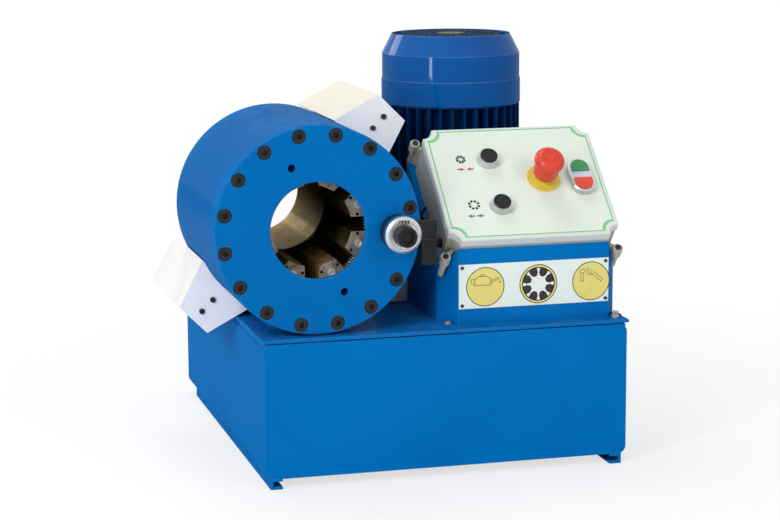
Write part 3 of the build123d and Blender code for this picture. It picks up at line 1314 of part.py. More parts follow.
with BuildPart() as terminal_box:
    with BuildSketch(Plane(origin=(MOTOR_X, MOTOR_Y + MOTOR_CORE_R, FRAME_START + TERMINAL_RISE),
                           x_dir=(1, 0, 0), z_dir=(0, -1, 0))):
        RectangleRounded(TERMINAL_W, TERMINAL_H, TERMINAL_EDGE_R)
    extrude(amount=-(MOTOR_R - MOTOR_CORE_R + TERMINAL_D))
    with BuildSketch(motor_plane(FRAME_START)):
        Circle(MOTOR_R + SEAT_GAP)
    extrude(amount=FRAME_L, mode=Mode.SUBTRACT)
    chamfer(terminal_box.faces().sort_by(Axis.Y)[-1].edges(), TERMINAL_CHAMFER)
finish(terminal_box.part, "terminal_box")

with BuildPart() as gear_pump:
    with BuildSketch(motor_plane(GASKET_TOP)):
        Circle(PUMP_FLANGE_R)
    extrude(amount=-PUMP_FLANGE_T)
    with BuildSketch(motor_plane(GASKET_TOP)):
        Circle(PUMP_BELL_R)
    extrude(amount=-PUMP_BELL_L)
    with BuildSketch(motor_plane(GASKET_TOP - PUMP_BELL_L)):
        RectangleRounded(PUMP_BODY, PUMP_BODY, PUMP_EDGE_R)
    extrude(amount=-PUMP_BODY_L)
    with BuildSketch(motor_plane(GASKET_TOP)):
        Circle(PUMP_SOCKET_R)
    extrude(amount=-PUMP_SOCKET_L, mode=Mode.SUBTRACT)
    with BuildSketch(motor_plane(GASKET_TOP - PUMP_BELL_L - PUMP_BODY_L)):
        with Locations((SUCTION_X, 0)):
            Circle(SUCTION_R)
    extrude(amount=-SUCTION_L)
finish(gear_pump.part, "gear_pump")

with BuildPart() as valve_block:
    with BuildSketch(Plane.XY.offset(LID_TOP)):
        with Locations((VALVE_X, VALVE_Y)):
            Rectangle(VALVE_W, VALVE_D)
    extrude(amount=VALVE_H)
    chamfer(valve_block.edges(), VALVE_CHAMFER)
finish(valve_block.part, "valve_block")


def coil_plane(back):
    """Plane across the valve's coil, facing the rear."""
    return Plane(origin=(VALVE_X, VALVE_Y + VALVE_D / 2 + back, LID_TOP + VALVE_H / 2), x_dir=(1, 0, 0),
                 z_dir=(0, 1, 0))


with BuildPart() as solenoid_valve:
    with BuildSketch(coil_plane(0)):
        Rectangle(COIL_W, COIL_H)
    extrude(amount=COIL_L)
    fillet(solenoid_valve.edges().filter_by(Axis.Y), COIL_EDGE_R)
    with BuildSketch(coil_plane(COIL_L)):
        Circle(COIL_NUT_R)
    extrude(amount=COIL_NUT_L)
finish(solenoid_valve.part, "solenoid_valve")

# Pressure pipe: leaves the drum radially, then bends down onto the valve block
PIPE_Y = HEAD_FRONT + PIPE_PORT_AT
spoke = radians(PIPE_ANGLE)
PIPE_PORT = (HEAD_X + HEAD_R * cos(spoke), PIPE_Y, HEAD_Z + HEAD_R * sin(spoke))
PIPE_BEND = (VALVE_X, PIPE_Y, HEAD_Z + (VALVE_X - HEAD_X) * tan(spoke))
PIPE_FOOT = (VALVE_X, PIPE_Y, LID_TOP + VALVE_H)
with BuildPart() as pressure_pipe:
    with BuildLine() as pipe_route:
        FilletPolyline(PIPE_PORT, PIPE_BEND, PIPE_FOOT, radius=PIPE_BEND_R)
    with BuildSketch(Plane(origin=pipe_route.wire() @ 0, z_dir=pipe_route.wire() % 0)):
        Circle(PIPE_R)
    sweep()
    with BuildSketch(Plane(origin=PIPE_PORT, z_dir=(cos(spoke), 0, sin(spoke)))):
        RegularPolygon(radius=PIPE_NUT_R, side_count=6)
    extrude(amount=PIPE_PORT_NUT_L)
    with BuildSketch(Plane.XY.offset(PIPE_FOOT[2])):
        with Locations((VALVE_X, PIPE_Y)):
            RegularPolygon(radius=PIPE_NUT_R, side_count=6)
    extrude(amount=PIPE_NUT_L)
    with BuildSketch(head_plane(0)):
        Circle(HEAD_R)
    extrude(amount=-2 * PIPE_PORT_AT, mode=Mode.SUBTRACT)
finish(pressure_pipe.part, "pressure_pipe")

# ---------------------------------------------------------------- shared small screws
m6_screw_thin = cap_screw(M6_HEAD_R, M6_HEAD_H, M6_R, LID_T + GASKET_T + TANK_RIM_T + M6_TIP, M6_KEY_R)
with BuildPart() as m6_screws:
    for x, y in LID_SCREWS:
        add(Pos(x, y, LID_TOP) * m6_screw_thin)
    for x, y in FOOT_SCREWS:
        add(Pos(x, y, LID_TOP + PED_TAB_T) * m6_screw_thin)
finish(m6_screws.part, "m6_screws")

lug_screw = cap_screw(M4_HEAD_R, M4_HEAD_H, M4_R, BOX_T - LUG_TOP + PED_WALL, M4_KEY_R)
guard_screw = cap_screw(M4_HEAD_R, M4_HEAD_H, M4_R, GUARD_WALL + GUARD_SCREW_REACH, M4_KEY_R)
plate_screw = cap_screw(M3_HEAD_R, M3_HEAD_H, M3_R, PLATE_T + PED_WALL, M3_KEY_R)
with BuildPart() as m4_screws:
    for place in LUG_PLACES:
        add(panel_plane(-LUG_TOP).location * Pos(place[0], place[1], 0) * lug_screw)
    for angle in RETURN_ANGLES:
        for at in GUARD_SCREWS_AT:
            add(turned_plane(GUARD_START, angle).location * Pos(at, 0, 0) * guard_screw)
finish(m4_screws.part, "m4_screws")

with BuildPart() as plate_screws:
    for place in PLATE_HOLES:
        add(front_plate_plane(PLATE_T).location * Pos(place[0], place[1], 0) * plate_screw)
finish(plate_screws.part, "plate_screws")
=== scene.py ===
"""Looks of the hose crimping machine: camera, light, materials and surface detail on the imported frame."""
import bpy
from math import atan2, cos, pi, radians, sin
from mathutils import Matrix, Vector


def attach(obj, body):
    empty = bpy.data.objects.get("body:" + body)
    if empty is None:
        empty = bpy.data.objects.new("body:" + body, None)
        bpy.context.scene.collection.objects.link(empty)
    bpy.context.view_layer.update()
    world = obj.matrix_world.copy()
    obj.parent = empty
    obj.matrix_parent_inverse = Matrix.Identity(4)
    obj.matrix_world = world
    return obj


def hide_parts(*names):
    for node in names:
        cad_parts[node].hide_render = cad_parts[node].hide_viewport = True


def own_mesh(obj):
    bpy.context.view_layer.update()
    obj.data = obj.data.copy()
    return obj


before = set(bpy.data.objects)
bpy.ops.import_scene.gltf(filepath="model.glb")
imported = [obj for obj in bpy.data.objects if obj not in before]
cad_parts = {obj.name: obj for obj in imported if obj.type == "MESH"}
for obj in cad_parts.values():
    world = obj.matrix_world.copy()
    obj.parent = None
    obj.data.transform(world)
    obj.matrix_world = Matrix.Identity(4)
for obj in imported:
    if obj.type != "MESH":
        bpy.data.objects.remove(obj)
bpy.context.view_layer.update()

MM = 0.001
MACHINE = "machine"
JAWS = 8
JAW_STEP = 45             # degrees from one jaw to the next

# Places on the machine, in metres
HEAD_Y = -0.242           # the flange's face, and the lid's lower edge
HEAD_Z = 0.3155
HEAD = Vector((-0.124, HEAD_Y, HEAD_Z))
MOTOR = (0.131, 0.058)
BOX_X = 0.1535            # middle of control box, pedestal and label plate
PLATE_Y = -0.2315
PLATE_Z = 0.2335

# Box lid: its size in millimetres, and how its face is tilted
LID_W = 222.0
LID_H = 182.0
LID_DROP = 0.0209         # lower edge of the lid below the head's axis
TILT = radians(48.0)
PANEL_NORMAL = Vector((0, -cos(TILT), sin(TILT)))
PANEL_RISE = Vector((0, sin(TILT), cos(TILT)))
PANEL_CORNER = Vector((BOX_X - LID_W * MM / 2, HEAD_Y, HEAD_Z - LID_DROP))

CAMERA_PLACE = (-0.71551, -2.79143, 0.73861)
CAMERA_YAW, CAMERA_PITCH, CAMERA_ROLL = radians(14.94), radians(9.96), radians(-0.34)
LENS_MM = 101.65
SENSOR_MM = 36.0
MACHINE_MIDDLE = (0, 0, 0.25)
WORLD_LEVEL = 0.50        # light of the world on the machine; what the camera sees stays white
ORANGE_PEEL = 0.00002     # relief of sprayed paint, in metres
INK_GRAIN = 0.000005
DUST = (0.42, 0.46, 0.50)
# paler blue for enamel edges: partly rubbed paint, partly a painted highlight
RUBBED_AND_LIT_EDGE_BLUE = (0.10, 0.26, 0.52)


# ---------------------------------------------------------------- camera, light and stage
def make_camera():
    """The catalogue viewpoint: a long lens, a little above and left of the machine."""
    yaw, pitch, roll = CAMERA_YAW, CAMERA_PITCH, CAMERA_ROLL
    ahead = Vector((sin(yaw) * cos(pitch), cos(yaw) * cos(pitch), -sin(pitch)))
    right = Vector((cos(yaw), -sin(yaw), 0))
    up = right.cross(ahead)
    right_turned = right * cos(roll) + up * sin(roll)
    up_turned = up * cos(roll) - right * sin(roll)
    data = bpy.data.cameras.new("camera")
    data.lens = LENS_MM
    data.sensor_width = SENSOR_MM
    camera = bpy.data.objects.new("camera", data)
    camera.matrix_world = Matrix((
        (right_turned.x, up_turned.x, -ahead.x, CAMERA_PLACE[0]),
        (right_turned.y, up_turned.y, -ahead.y, CAMERA_PLACE[1]),
        (right_turned.z, up_turned.z, -ahead.z, CAMERA_PLACE[2]),
        (0, 0, 0, 1)))
    bpy.context.scene.collection.objects.link(camera)
    bpy.context.scene.camera = camera


def area_light(name, place, aim, size, power, tall=None):
    """A round soft box, or an upright strip when its height is given."""
    data = bpy.data.lights.new(name, "AREA")
    data.shape = "RECTANGLE" if tall else "DISK"
    data.size = size
    data.size_y = tall or size
    data.energy = power
    lamp = bpy.data.objects.new(name, data)
    lamp.location = place
    lamp.rotation_euler = (Vector(aim) - Vector(place)).to_track_quat("-Z", "Y").to_euler()
    bpy.context.scene.collection.objects.link(lamp)


# ---------------------------------------------------------------- material tools
class Field:
    """One output socket of a node tree, with arithmetic that makes Math nodes."""

    def __init__(self, tools, socket):
        self.tools = tools
        self.socket = socket

    def __add__(self, other):
        return self.tools.math("ADD", self, other)

    def __sub__(self, other):
        return self.tools.math("SUBTRACT", self, other)

    def __mul__(self, other):
        return self.tools.math("MULTIPLY", self, other)

    def __rsub__(self, other):
        return self.tools.math("SUBTRACT", other, self)

    __radd__ = __add__
    __rmul__ = __mul__

    def between(self, low, high):
        """0 below low and 1 above high, with a smooth step between them."""
        return self.tools.node("ShaderNodeMapRange", {"Value": self, "From Min": low, "From Max": high},
                               interpolation_type="SMOOTHSTEP")


class Nodes:
    """A node tree, with one method for a node of any kind."""

    def __init__(self, tree):
        self.tree = tree

    def plug(self, socket, value):
        if isinstance(value, Field):
            self.tree.links.new(value.socket, socket)
        elif isinstance(value, tuple) and len(value) == 3 and socket.type == "RGBA":
            socket.default_value = (*value, 1)
        else:
            socket.default_value = value

    def node(self, kind, inputs=None, out=0, **settings):
        made = self.tree.nodes.new(kind)
        for key, value in settings.items():
            setattr(made, key, value)
        for key, value in (inputs or {}).items():
            self.plug(made.inputs[key], value)
        return Field(self, made.outputs[out])

    def math(self, operation, *values):
        return self.node("ShaderNodeMath", dict(enumerate(values)), operation=operation)

    def ray(self, kind):
        """1 for rays of one kind, such as Camera, and 0 for the others."""
        return self.node("ShaderNodeLightPath", out=f"Is {kind} Ray")


class Paint(Nodes):
    """A material under construction, with its Principled shader."""

    def __init__(self, name):
        self.material = bpy.data.materials.new(name)
        self.material.use_nodes = True
        super().__init__(self.material.node_tree)
        self.shader = self.tree.nodes["Principled BSDF"]
        self.place = self.node("ShaderNodeTexCoord", out="Object")

    def noise(self, scale, detail=4, rough=0.55, stretch=None):
        """Cloud noise; scale is in waves per metre and stretch squeezes it along each axis."""
        where = self.place
        if stretch:
            where = self.node("ShaderNodeVectorMath", {0: self.place, 1: stretch}, operation="MULTIPLY")
        return self.node("ShaderNodeTexNoise",
                         {"Vector": where, "Scale": scale, "Detail": detail, "Roughness": rough})

    def mix(self, factor, first, second):
        """The first colour where the factor is 0, and the second where it is 1."""
        return self.node("ShaderNodeMix", {0: factor, 6: first, 7: second}, out=2, data_type="RGBA")

    def axis(self, number, source="Object"):
        """One coordinate of the place on the object, or of the surface direction."""
        vector = self.place if source == "Object" else self.node("ShaderNodeNewGeometry", out="Normal")
        return self.node("ShaderNodeSeparateXYZ", {0: vector}, out=number)

    def reach(self, first, second, centre):
        """Distance from an axis, measured in the plane of two coordinates."""
        a = self.axis(first) - centre[0]
        b = self.axis(second) - centre[1]
        return self.math("SQRT", a * a + b * b)

    def edges(self, width=0.0011):
        """1 on the sharp edges and 0 on the faces, from how far a rounded edge would turn the surface."""
        rounded = self.node("ShaderNodeBevel", {"Radius": width}, samples=3)
        flat = self.node("ShaderNodeNewGeometry", out="Normal")
        agree = self.node("ShaderNodeVectorMath", {0: rounded, 1: flat}, out="Value", operation="DOT_PRODUCT")
        return 1.0 - agree.between(0.86, 0.995)

    def bump(self, height, depth):
        """Adds relief; depth is in metres."""
        self.set(Normal=self.node("ShaderNodeBump", {"Height": height, "Distance": depth, "Strength": 1.0}))

    def set(self, **values):
        """Sets the shader's sockets, each named with _ for a space."""
        for key, value in values.items():
            self.plug(self.shader.inputs[key.replace("_", " ")], value)


def enamel(name, colour, shade, coat, rough=0.34, mottle=0.35, edge_share=0.45):
    """Sprayed enamel: orange peel, uneven gloss, dust on what faces up, rubbed spots, and paler edges that are
    partly rubbed paint and partly a painted highlight.
    """
    paint = Paint(name)
    cloud = paint.noise(7, 5)
    streak = paint.noise(60, 6, 0.65)
    tone = paint.mix(cloud.between(0.38, 0.66) * mottle, colour, shade)
    settled = paint.axis(2, "Normal").between(0.55, 1.0) * streak.between(0.35, 0.75) * 0.06
    tone = paint.mix(settled, tone, DUST)
    speck = paint.noise(420, 2, 0.5).between(0.70, 0.74) * paint.noise(18, 3).between(0.5, 0.62)
    tone = paint.mix(speck * 0.5, tone, shade)
    # paler edges: partly rubbed paint, partly a painted highlight along the edges
    tone = paint.mix(paint.edges() * streak.between(0.3, 0.6) * edge_share, tone, RUBBED_AND_LIT_EDGE_BLUE)
    paint.set(Base_Color=tone, Roughness=streak * 0.16 + (rough - 0.08) + settled * 0.5,
              Specular_IOR_Level=0.0, Coat_Weight=coat, Coat_Roughness=0.10)
    paint.bump(paint.noise(850, 3, 0.5) + cloud * 2.0, ORANGE_PEEL)
    return paint.material


def plastic(name, colour, shade, rough=0.4, grain=0.00002, coat=0.0, sheen=0.3):
    """Moulded plastic with a fine spark-eroded grain and handling marks."""
    paint = Paint(name)
    marks = paint.noise(45, 5, 0.7)
    fine = paint.noise(1900, 2, 0.5)
    tone = paint.mix(marks.between(0.45, 0.8) * 0.5, colour, shade)
    paint.set(Base_Color=tone, Roughness=marks * 0.22 + (rough - 0.1), Coat_Weight=coat, Specular_IOR_Level=sheen)
    paint.bump(fine + marks * 0.6, grain)
    return paint.material


def metal(name, colour, stain, rough=0.3, along=(1, 1, 1), depth=0.00001, stained=0.4, scale=500, edge_highlight=None):
    """Machined metal: fine tool lines along one direction, cloudy oil stains and, where a colour is given, a
    painted highlight along the edges.
    """
    paint = Paint(name)
    lines = paint.noise(scale, 4, 0.6, stretch=along)
    cloud = paint.noise(38, 5, 0.62)
    tone = paint.mix(cloud.between(0.42, 0.68) * stained, colour, stain)
    tone = paint.mix(lines.between(0.3, 0.7) * 0.25, tone, stain)
    # painted highlight along the edges
    if edge_highlight:
        tone = paint.mix(paint.edges() * 0.7, tone, edge_highlight)
    paint.set(Base_Color=tone, Metallic=1.0, Roughness=lines * 0.2 + cloud * 0.2 + (rough - 0.2))
    paint.bump(lines, depth)
    return paint.material


def white_enamel():
    """Guard enamel, with a cool painted reflection on its front faces, warmer and darker painted light where it
    faces up, and a painted highlight on its edges.
    """
    paint = Paint("white_enamel")
    cloud = paint.noise(16, 5, 0.6)
    fine = paint.noise(90, 4, 0.6)
    # painted light by facing: cool painted reflection on the front faces, warmer and darker painted light on faces
    # that look up
    up = paint.axis(2, "Normal").between(0.1, 0.9)
    tone = paint.mix(up, (0.80, 0.81, 0.86), (0.70, 0.655, 0.56))
    tone = paint.mix(cloud.between(0.45, 0.75) * 0.35, tone, (0.56, 0.55, 0.52))
    tone = paint.mix(fine.between(0.66, 0.78) * 0.5, tone, (0.42, 0.41, 0.38))
    # painted highlight along the edges
    tone = paint.mix(paint.edges() * 0.6, tone, (0.84, 0.84, 0.82))
    paint.set(Base_Color=tone, Roughness=fine * 0.2 + 0.32, Specular_IOR_Level=0.3)
    paint.bump(paint.noise(850, 3, 0.5) + cloud, ORANGE_PEEL)
    return paint.material


# Bands on the jaws and in the bore, in metres: where each begins and where it is full
JAW_FRONT_AHEAD = (0.198, 0.203)
DIE_BOLT_AHEAD = (0.2041, 0.2044)
JAW_LIT_LOW_TO_SHADED_HIGH = (0.262, 0.300)
GREASE_AND_SHADE_AHEAD = (0.0225, 0.0236)
BORE_PAINTED_SHADE = (-0.038, 0.030)
BORE_PAINTED_HIGHLIGHT = (0.0568, 0.0579)
HUB_DISC = (0.0175, 0.0185)


def jaw_steel():
    """Jaw steel: oily brown faces with painted light, brighter low on the head and near-black high up; paler
    ground front faces and bright die bolts.
    """
    paint = Paint("jaw_steel")
    lines = paint.noise(420, 4, 0.6, stretch=(1, 0.12, 1))
    cloud = paint.noise(70, 5, 0.65)
    front = (0.0 - paint.axis(1, "Normal")).between(0.8, 0.95) * (0.0 - paint.axis(1)).between(*JAW_FRONT_AHEAD)
    # painted light: jaw faces lit low on the head, fading to painted shade high up
    low = 1.0 - paint.axis(2).between(*JAW_LIT_LOW_TO_SHADED_HIGH)
    bolt = (0.0 - paint.axis(1)).between(*DIE_BOLT_AHEAD)
    face = paint.mix(low, (0.022, 0.019, 0.006), (0.22, 0.145, 0.055))
    tone = paint.mix(front, face, (0.36, 0.305, 0.265))
    tone = paint.mix(cloud.between(0.42, 0.70) * 0.7, tone, (0.012, 0.009, 0.006))
    tone = paint.mix(lines.between(0.35, 0.7) * 0.15, tone, (0.11, 0.085, 0.04))
    tone = paint.mix(bolt, tone, (0.86, 0.82, 0.76))
    paint.set(Base_Color=tone, Metallic=front * 0.3 + bolt * 0.5, Specular_IOR_Level=0.0,
              Roughness=lines * 0.25 + cloud * 0.25 + 0.2)
    paint.bump(lines + cloud, 0.00003)
    return paint.material


def cone_bronze():
    """Turned bronze bore, darker above as painted shade and with a painted highlight along its lower right side;
    near-black on the cone, partly grease and partly painted shade.
    """
    paint = Paint("cone_bronze")
    rings = paint.noise(900, 4, 0.6, stretch=(0.05, 1, 0.05))
    cloud = paint.noise(45, 6, 0.68, stretch=(1, 0.5, 1))
    # near-black on the cone: partly grease, partly painted shade
    grease_and_shade = (0.0 - paint.axis(1)).between(*GREASE_AND_SHADE_AHEAD)
    across = paint.axis(0) - HEAD.x
    upward = paint.axis(2) - HEAD.z
    # painted shade on the upper part of the bore
    dark = (upward + across * 0.35).between(*BORE_PAINTED_SHADE)
    # painted highlight along the lower right side of the bore
    flank = (across * 0.72 - upward * 0.694).between(*BORE_PAINTED_HIGHLIGHT)
    tone = paint.mix(dark, (0.42, 0.275, 0.100), (0.040, 0.029, 0.011))
    tone = paint.mix(flank * 0.7, tone, (0.85, 0.70, 0.36))
    tone = paint.mix(cloud.between(0.44, 0.74) * 0.5, tone, (0.060, 0.040, 0.014))
    tone = paint.mix(rings.between(0.35, 0.7) * 0.3, tone, (0.12, 0.085, 0.04))
    tone = paint.mix(grease_and_shade * 0.95, tone, (0.004, 0.003, 0.002))
    paint.set(Base_Color=tone, Metallic=(1.0 - dark) * 0.25 - grease_and_shade * 0.25, Specular_IOR_Level=0.0,
              Roughness=rings * 0.22 + cloud * 0.25 + 0.14)
    paint.bump(rings, 0.000012)
    return paint.material


def hood_enamel():
    """Motor hood: glossy enamel below with a painted highlight along its edges; on top a dark grille whose
    near-black openings are painted shade, and a bare hub disc.
    """
    paint = Paint("hood_enamel")
    streak = paint.noise(60, 6, 0.65)
    cloud = paint.noise(9, 5)
    top = paint.axis(2, "Normal").between(0.80, 0.92)
    hub = 1.0 - paint.reach(0, 1, MOTOR).between(*HUB_DISC)
    # grille pattern: the near-black between the bars is painted shade in the grille's openings
    mesh = paint.noise(300, 2, 0.5, stretch=(1, 1, 0.1)).between(0.46, 0.56)
    grille = paint.mix(mesh, (0.010, 0.014, 0.022), (0.055, 0.095, 0.15))
    grille = paint.mix(hub, grille, (0.20, 0.18, 0.14))
    tone = paint.mix(cloud.between(0.36, 0.66) * 0.6, (0.0, 0.080, 0.31), (0.0, 0.045, 0.21))
    # painted highlight along the edges
    tone = paint.mix(paint.edges(0.0016) * streak.between(0.25, 0.5) * 0.6, tone, (0.30, 0.42, 0.60))
    tone = paint.mix(top, tone, grille)
    paint.set(Base_Color=tone, Roughness=streak * 0.14 + top * 0.4 + 0.2, Specular_IOR_Level=0.0,
              Coat_Weight=0.42 - top * 0.42, Coat_Roughness=0.06)
    paint.bump(paint.noise(850, 3, 0.5) + cloud * 2.0, ORANGE_PEEL)
    return paint.material


# ---------------------------------------------------------------- piece tools
def mesh_piece(name, points, faces, material, body=MACHINE, smooth=False):
    """A mesh from points and faces, riding on a body."""
    mesh = bpy.data.meshes.new(name)
    mesh.from_pydata([tuple(p) for p in points], [], faces)
    mesh.update()
    mesh.materials.append(material)
    for face in mesh.polygons:
        face.use_smooth = smooth
    piece = bpy.data.objects.new(name, mesh)
    bpy.context.scene.collection.objects.link(piece)
    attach(piece, body)
    return piece


def panel_point(u, v, height=0.0):
    """A place on the box lid, from its lower left corner, in millimetres."""
    return PANEL_CORNER + Vector((u * MM, 0, 0)) + PANEL_RISE * (v * MM) + PANEL_NORMAL * (height * MM)


def plate_point(x, z, height=0.0):
    """A place on the pedestal's front label plate, in millimetres from its middle."""
    return Vector((BOX_X + x * MM, PLATE_Y - height * MM, PLATE_Z + z * MM))


class Print:
    """Flat printed shapes collected into one thin film."""

    def __init__(self, where, height):
        self.where = where
        self.height = height
        self.points = []
        self.faces = []

    def shape(self, outline):
        start = len(self.points)
        self.points += [self.where(x, y, self.height) for x, y in outline]
        self.faces.append(list(range(start, start + len(outline))))

    def ring(self, x, y, inner, outer, start=0.0, end=360.0, steps=48):
        """Part of a ring, or a disc where the inner radius is zero."""
        turns = [radians(start + (end - start) * i / steps) for i in range(steps + 1)]
        for a, b in zip(turns, turns[1:]):
            corners = [(outer, a), (outer, b)]
            corners += [(inner, b), (inner, a)] if inner > 0 else [(0, 0)]
            self.shape([(x + r * cos(t), y + r * sin(t)) for r, t in corners])

    def stroke(self, line, width):
        """A line of the given width through the points."""
        for (x0, y0), (x1, y1) in zip(line, line[1:]):
            turn = atan2(y1 - y0, x1 - x0)
            dx, dy = -sin(turn) * width / 2, cos(turn) * width / 2
            self.shape([(x0 + dx, y0 + dy), (x0 - dx, y0 - dy), (x1 - dx, y1 - dy), (x1 + dx, y1 + dy)])

    def make(self, name, material, body=MACHINE):
        mesh_piece(name, self.points, self.faces, material, body)


def hollow_corners(low_x, low_y, high_x, high_y, radius, steps=8):
    """Outline of a rectangle whose corners are cut by quarter rounds."""
    line = []
    for x, y, first in ((low_x, low_y, 90), (high_x, low_y, 180), (high_x, high_y, 270), (low_x, high_y, 360)):
        for i in range(steps + 1):
            turn = radians(first - 90 * i / steps)
            line.append((x + radius * cos(turn), y + radius * sin(turn)))
    return line


# ---------------------------------------------------------------- stage
make_camera()
scene = bpy.context.scene
scene.view_settings.view_transform = "Standard"
world = bpy.data.worlds.new("studio")
scene.world = world
world.use_nodes = True
sky = Nodes(world.node_tree)
seen = sky.math("MAXIMUM", sky.ray("Camera"), sky.ray("Transmission"))
shiny = sky.math("MAXIMUM", seen, sky.ray("Glossy"))
background = world.node_tree.nodes["Background"]
sky.plug(background.inputs["Strength"],
         sky.node("ShaderNodeMapRange", {"Value": shiny, "To Min": WORLD_LEVEL, "To Max": 1.0}))
sky.plug(background.inputs["Color"], (1, 1, 1))

area_light("key", (-2.2, -2.4, 2.1), MACHINE_MIDDLE, 1.5, 34)
area_light("side", (1.3, -2.7, 1.5), MACHINE_MIDDLE, 1.3, 17)
area_light("strip", (-1.83, -1.65, 1.32), (*MOTOR, 1.32), 0.2, 24, tall=2.5)
area_light("top", (-0.3, 0.7, 2.5), (0, 0, 0.3), 1.2, 20)
area_light("back", (-1.4, 2.0, 1.6), (0, 0, 0.3), 1.0, 12)

floor_paint = Paint("floor")
floor_paint.set(Base_Color=(0.86, 0.86, 0.87), Roughness=0.9)
glow = floor_paint.node("ShaderNodeEmission", {"Strength": 1.0})
away = floor_paint.node("ShaderNodeVectorMath", {0: floor_paint.place}, out="Value", operation="LENGTH")
share = floor_paint.ray("Camera") * (away.between(0.40, 1.2) * 0.30 + 0.70)
lit = Field(floor_paint, floor_paint.shader.outputs[0])
blend = floor_paint.node("ShaderNodeMixShader", {0: share, 1: lit, 2: glow})
floor_paint.plug(floor_paint.tree.nodes["Material Output"].inputs["Surface"], blend)
floor_mesh = bpy.data.meshes.new("floor")
FLOOR_HALF = 9
floor_mesh.from_pydata([(-FLOOR_HALF, -FLOOR_HALF, 0), (FLOOR_HALF, -FLOOR_HALF, 0), (FLOOR_HALF, FLOOR_HALF, 0),
                        (-FLOOR_HALF, FLOOR_HALF, 0)], [], [(0, 1, 2, 3)])
floor_mesh.materials.append(floor_paint.material)
floor = bpy.data.objects.new("floor", floor_mesh)
scene.collection.objects.link(floor)

# ---------------------------------------------------------------- materials
# One blue paint in several copies; the darker tones of the head and drum copies are painted shade.
BLUE = enamel("blue_enamel", (0.0, 0.145, 0.44), (0.0, 0.10, 0.36), coat=0.06)
TANK_BLUE = enamel("tank_enamel", (0.0, 0.142, 0.43), (0.0, 0.11, 0.36), rough=0.42, coat=0.04)
HEAD_BLUE = enamel("head_enamel", (0.0, 0.125, 0.39), (0.0, 0.095, 0.32), rough=0.36, coat=0.06)
DRUM_BLUE = enamel("drum_enamel", (0.0, 0.115, 0.37), (0.0, 0.08, 0.29), coat=0.07)
HOOD_BLUE = hood_enamel()
MOTOR_BLUE = enamel("motor_enamel", (0.0, 0.085, 0.32), (0.0, 0.05, 0.22), rough=0.30, coat=0.3)
# motor frame and flange: a darker copy of the motor's blue, painted shade between the fins
SHADED_FIN_BLUE = enamel("fin_enamel_shaded", (0.0, 0.032, 0.14), (0.0, 0.012, 0.06), coat=0.05, mottle=0.6, edge_share=0.2)
WHITE = white_enamel()
JAW_STEEL = jaw_steel()
BRONZE = cone_bronze()
BRIGHT = metal("bright_steel", (0.62, 0.62, 0.63), (0.34, 0.33, 0.32), rough=0.28, along=(1, 0.1, 1))
# black steel screws with a painted highlight on their rims
BLACK_STEEL = metal("black_steel", (0.034, 0.034, 0.038), (0.010, 0.010, 0.011), rough=0.42,
                    edge_highlight=(0.16, 0.15, 0.15))
ZINC = metal("zinc", (0.50, 0.50, 0.47), (0.26, 0.25, 0.21), rough=0.36)
CHROME = metal("chrome", (0.66, 0.67, 0.68), (0.36, 0.36, 0.38), rough=0.34, depth=0.000004, stained=0.3)
DIAL_METAL = metal("dial_metal", (0.66, 0.67, 0.69), (0.40, 0.41, 0.43), rough=0.32, along=(1, 0.2, 1),
                   scale=900)
PIPE = metal("brass_pipe", (0.50, 0.37, 0.20), (0.22, 0.13, 0.06), rough=0.36)
ALLOY = metal("cast_alloy", (0.45, 0.45, 0.46), (0.25, 0.24, 0.23), rough=0.45, depth=0.00003)
BOX_GREY = plastic("box_grey", (0.42, 0.405, 0.345), (0.31, 0.295, 0.245), rough=0.46, sheen=0.15)
LID_WHITE = plastic("lid_white", (0.62, 0.65, 0.63), (0.50, 0.53, 0.51), rough=0.38)
BLACK = plastic("black_plastic", (0.010, 0.010, 0.011), (0.022, 0.022, 0.023), rough=0.38, sheen=0.2)
RED = plastic("red_plastic", (0.62, 0.045, 0.018), (0.42, 0.02, 0.012), rough=0.34, coat=0.15)
STOP_RED = plastic("stop_red", (0.62, 0.06, 0.025), (0.45, 0.03, 0.015), rough=0.34, coat=0.15)
GREEN = plastic("green_plastic", (0.04, 0.24, 0.08), (0.02, 0.15, 0.05), rough=0.34, coat=0.2)
YELLOW = plastic("yellow_plastic", (0.66, 0.50, 0.06), (0.48, 0.34, 0.03), rough=0.4, coat=0.1)
LENS = plastic("lens_white", (0.52, 0.56, 0.64), (0.44, 0.47, 0.55), rough=0.2, coat=0.4)
# black with a navy tint that is painted shade
NAVY = plastic("navy_rubber", (0.010, 0.013, 0.040), (0.02, 0.024, 0.055), rough=0.5, sheen=0.2)
RUBBER = plastic("rubber", (0.014, 0.014, 0.014), (0.03, 0.03, 0.028), rough=0.62, grain=0.00004)
INK = plastic("black_ink", (0.02, 0.02, 0.022), (0.05, 0.05, 0.05), rough=0.5, grain=INK_GRAIN)
GREEN_INK = plastic("green_ink", (0.20, 0.50, 0.24), (0.28, 0.56, 0.32), rough=0.5, grain=INK_GRAIN)
RED_INK = plastic("red_ink", (0.50, 0.05, 0.04), (0.42, 0.06, 0.05), rough=0.5, grain=INK_GRAIN)
DEEP_RED = plastic("deep_red", (0.38, 0.02, 0.01), (0.3, 0.015, 0.01), rough=0.5, grain=INK_GRAIN)
GREY_INK = plastic("grey_ink", (0.12, 0.12, 0.13), (0.2, 0.2, 0.2), rough=0.5, grain=INK_GRAIN)
OLIVE_INK = plastic("olive_ink", (0.22, 0.19, 0.06), (0.28, 0.25, 0.10), rough=0.5, grain=INK_GRAIN)
FIELD_INK = plastic("field_ink", (0.66, 0.73, 0.65), (0.60, 0.67, 0.60), rough=0.36, grain=INK_GRAIN)
YELLOW_INK = plastic("yellow_ink", (0.66, 0.58, 0.17), (0.58, 0.50, 0.14), rough=0.45, grain=INK_GRAIN)
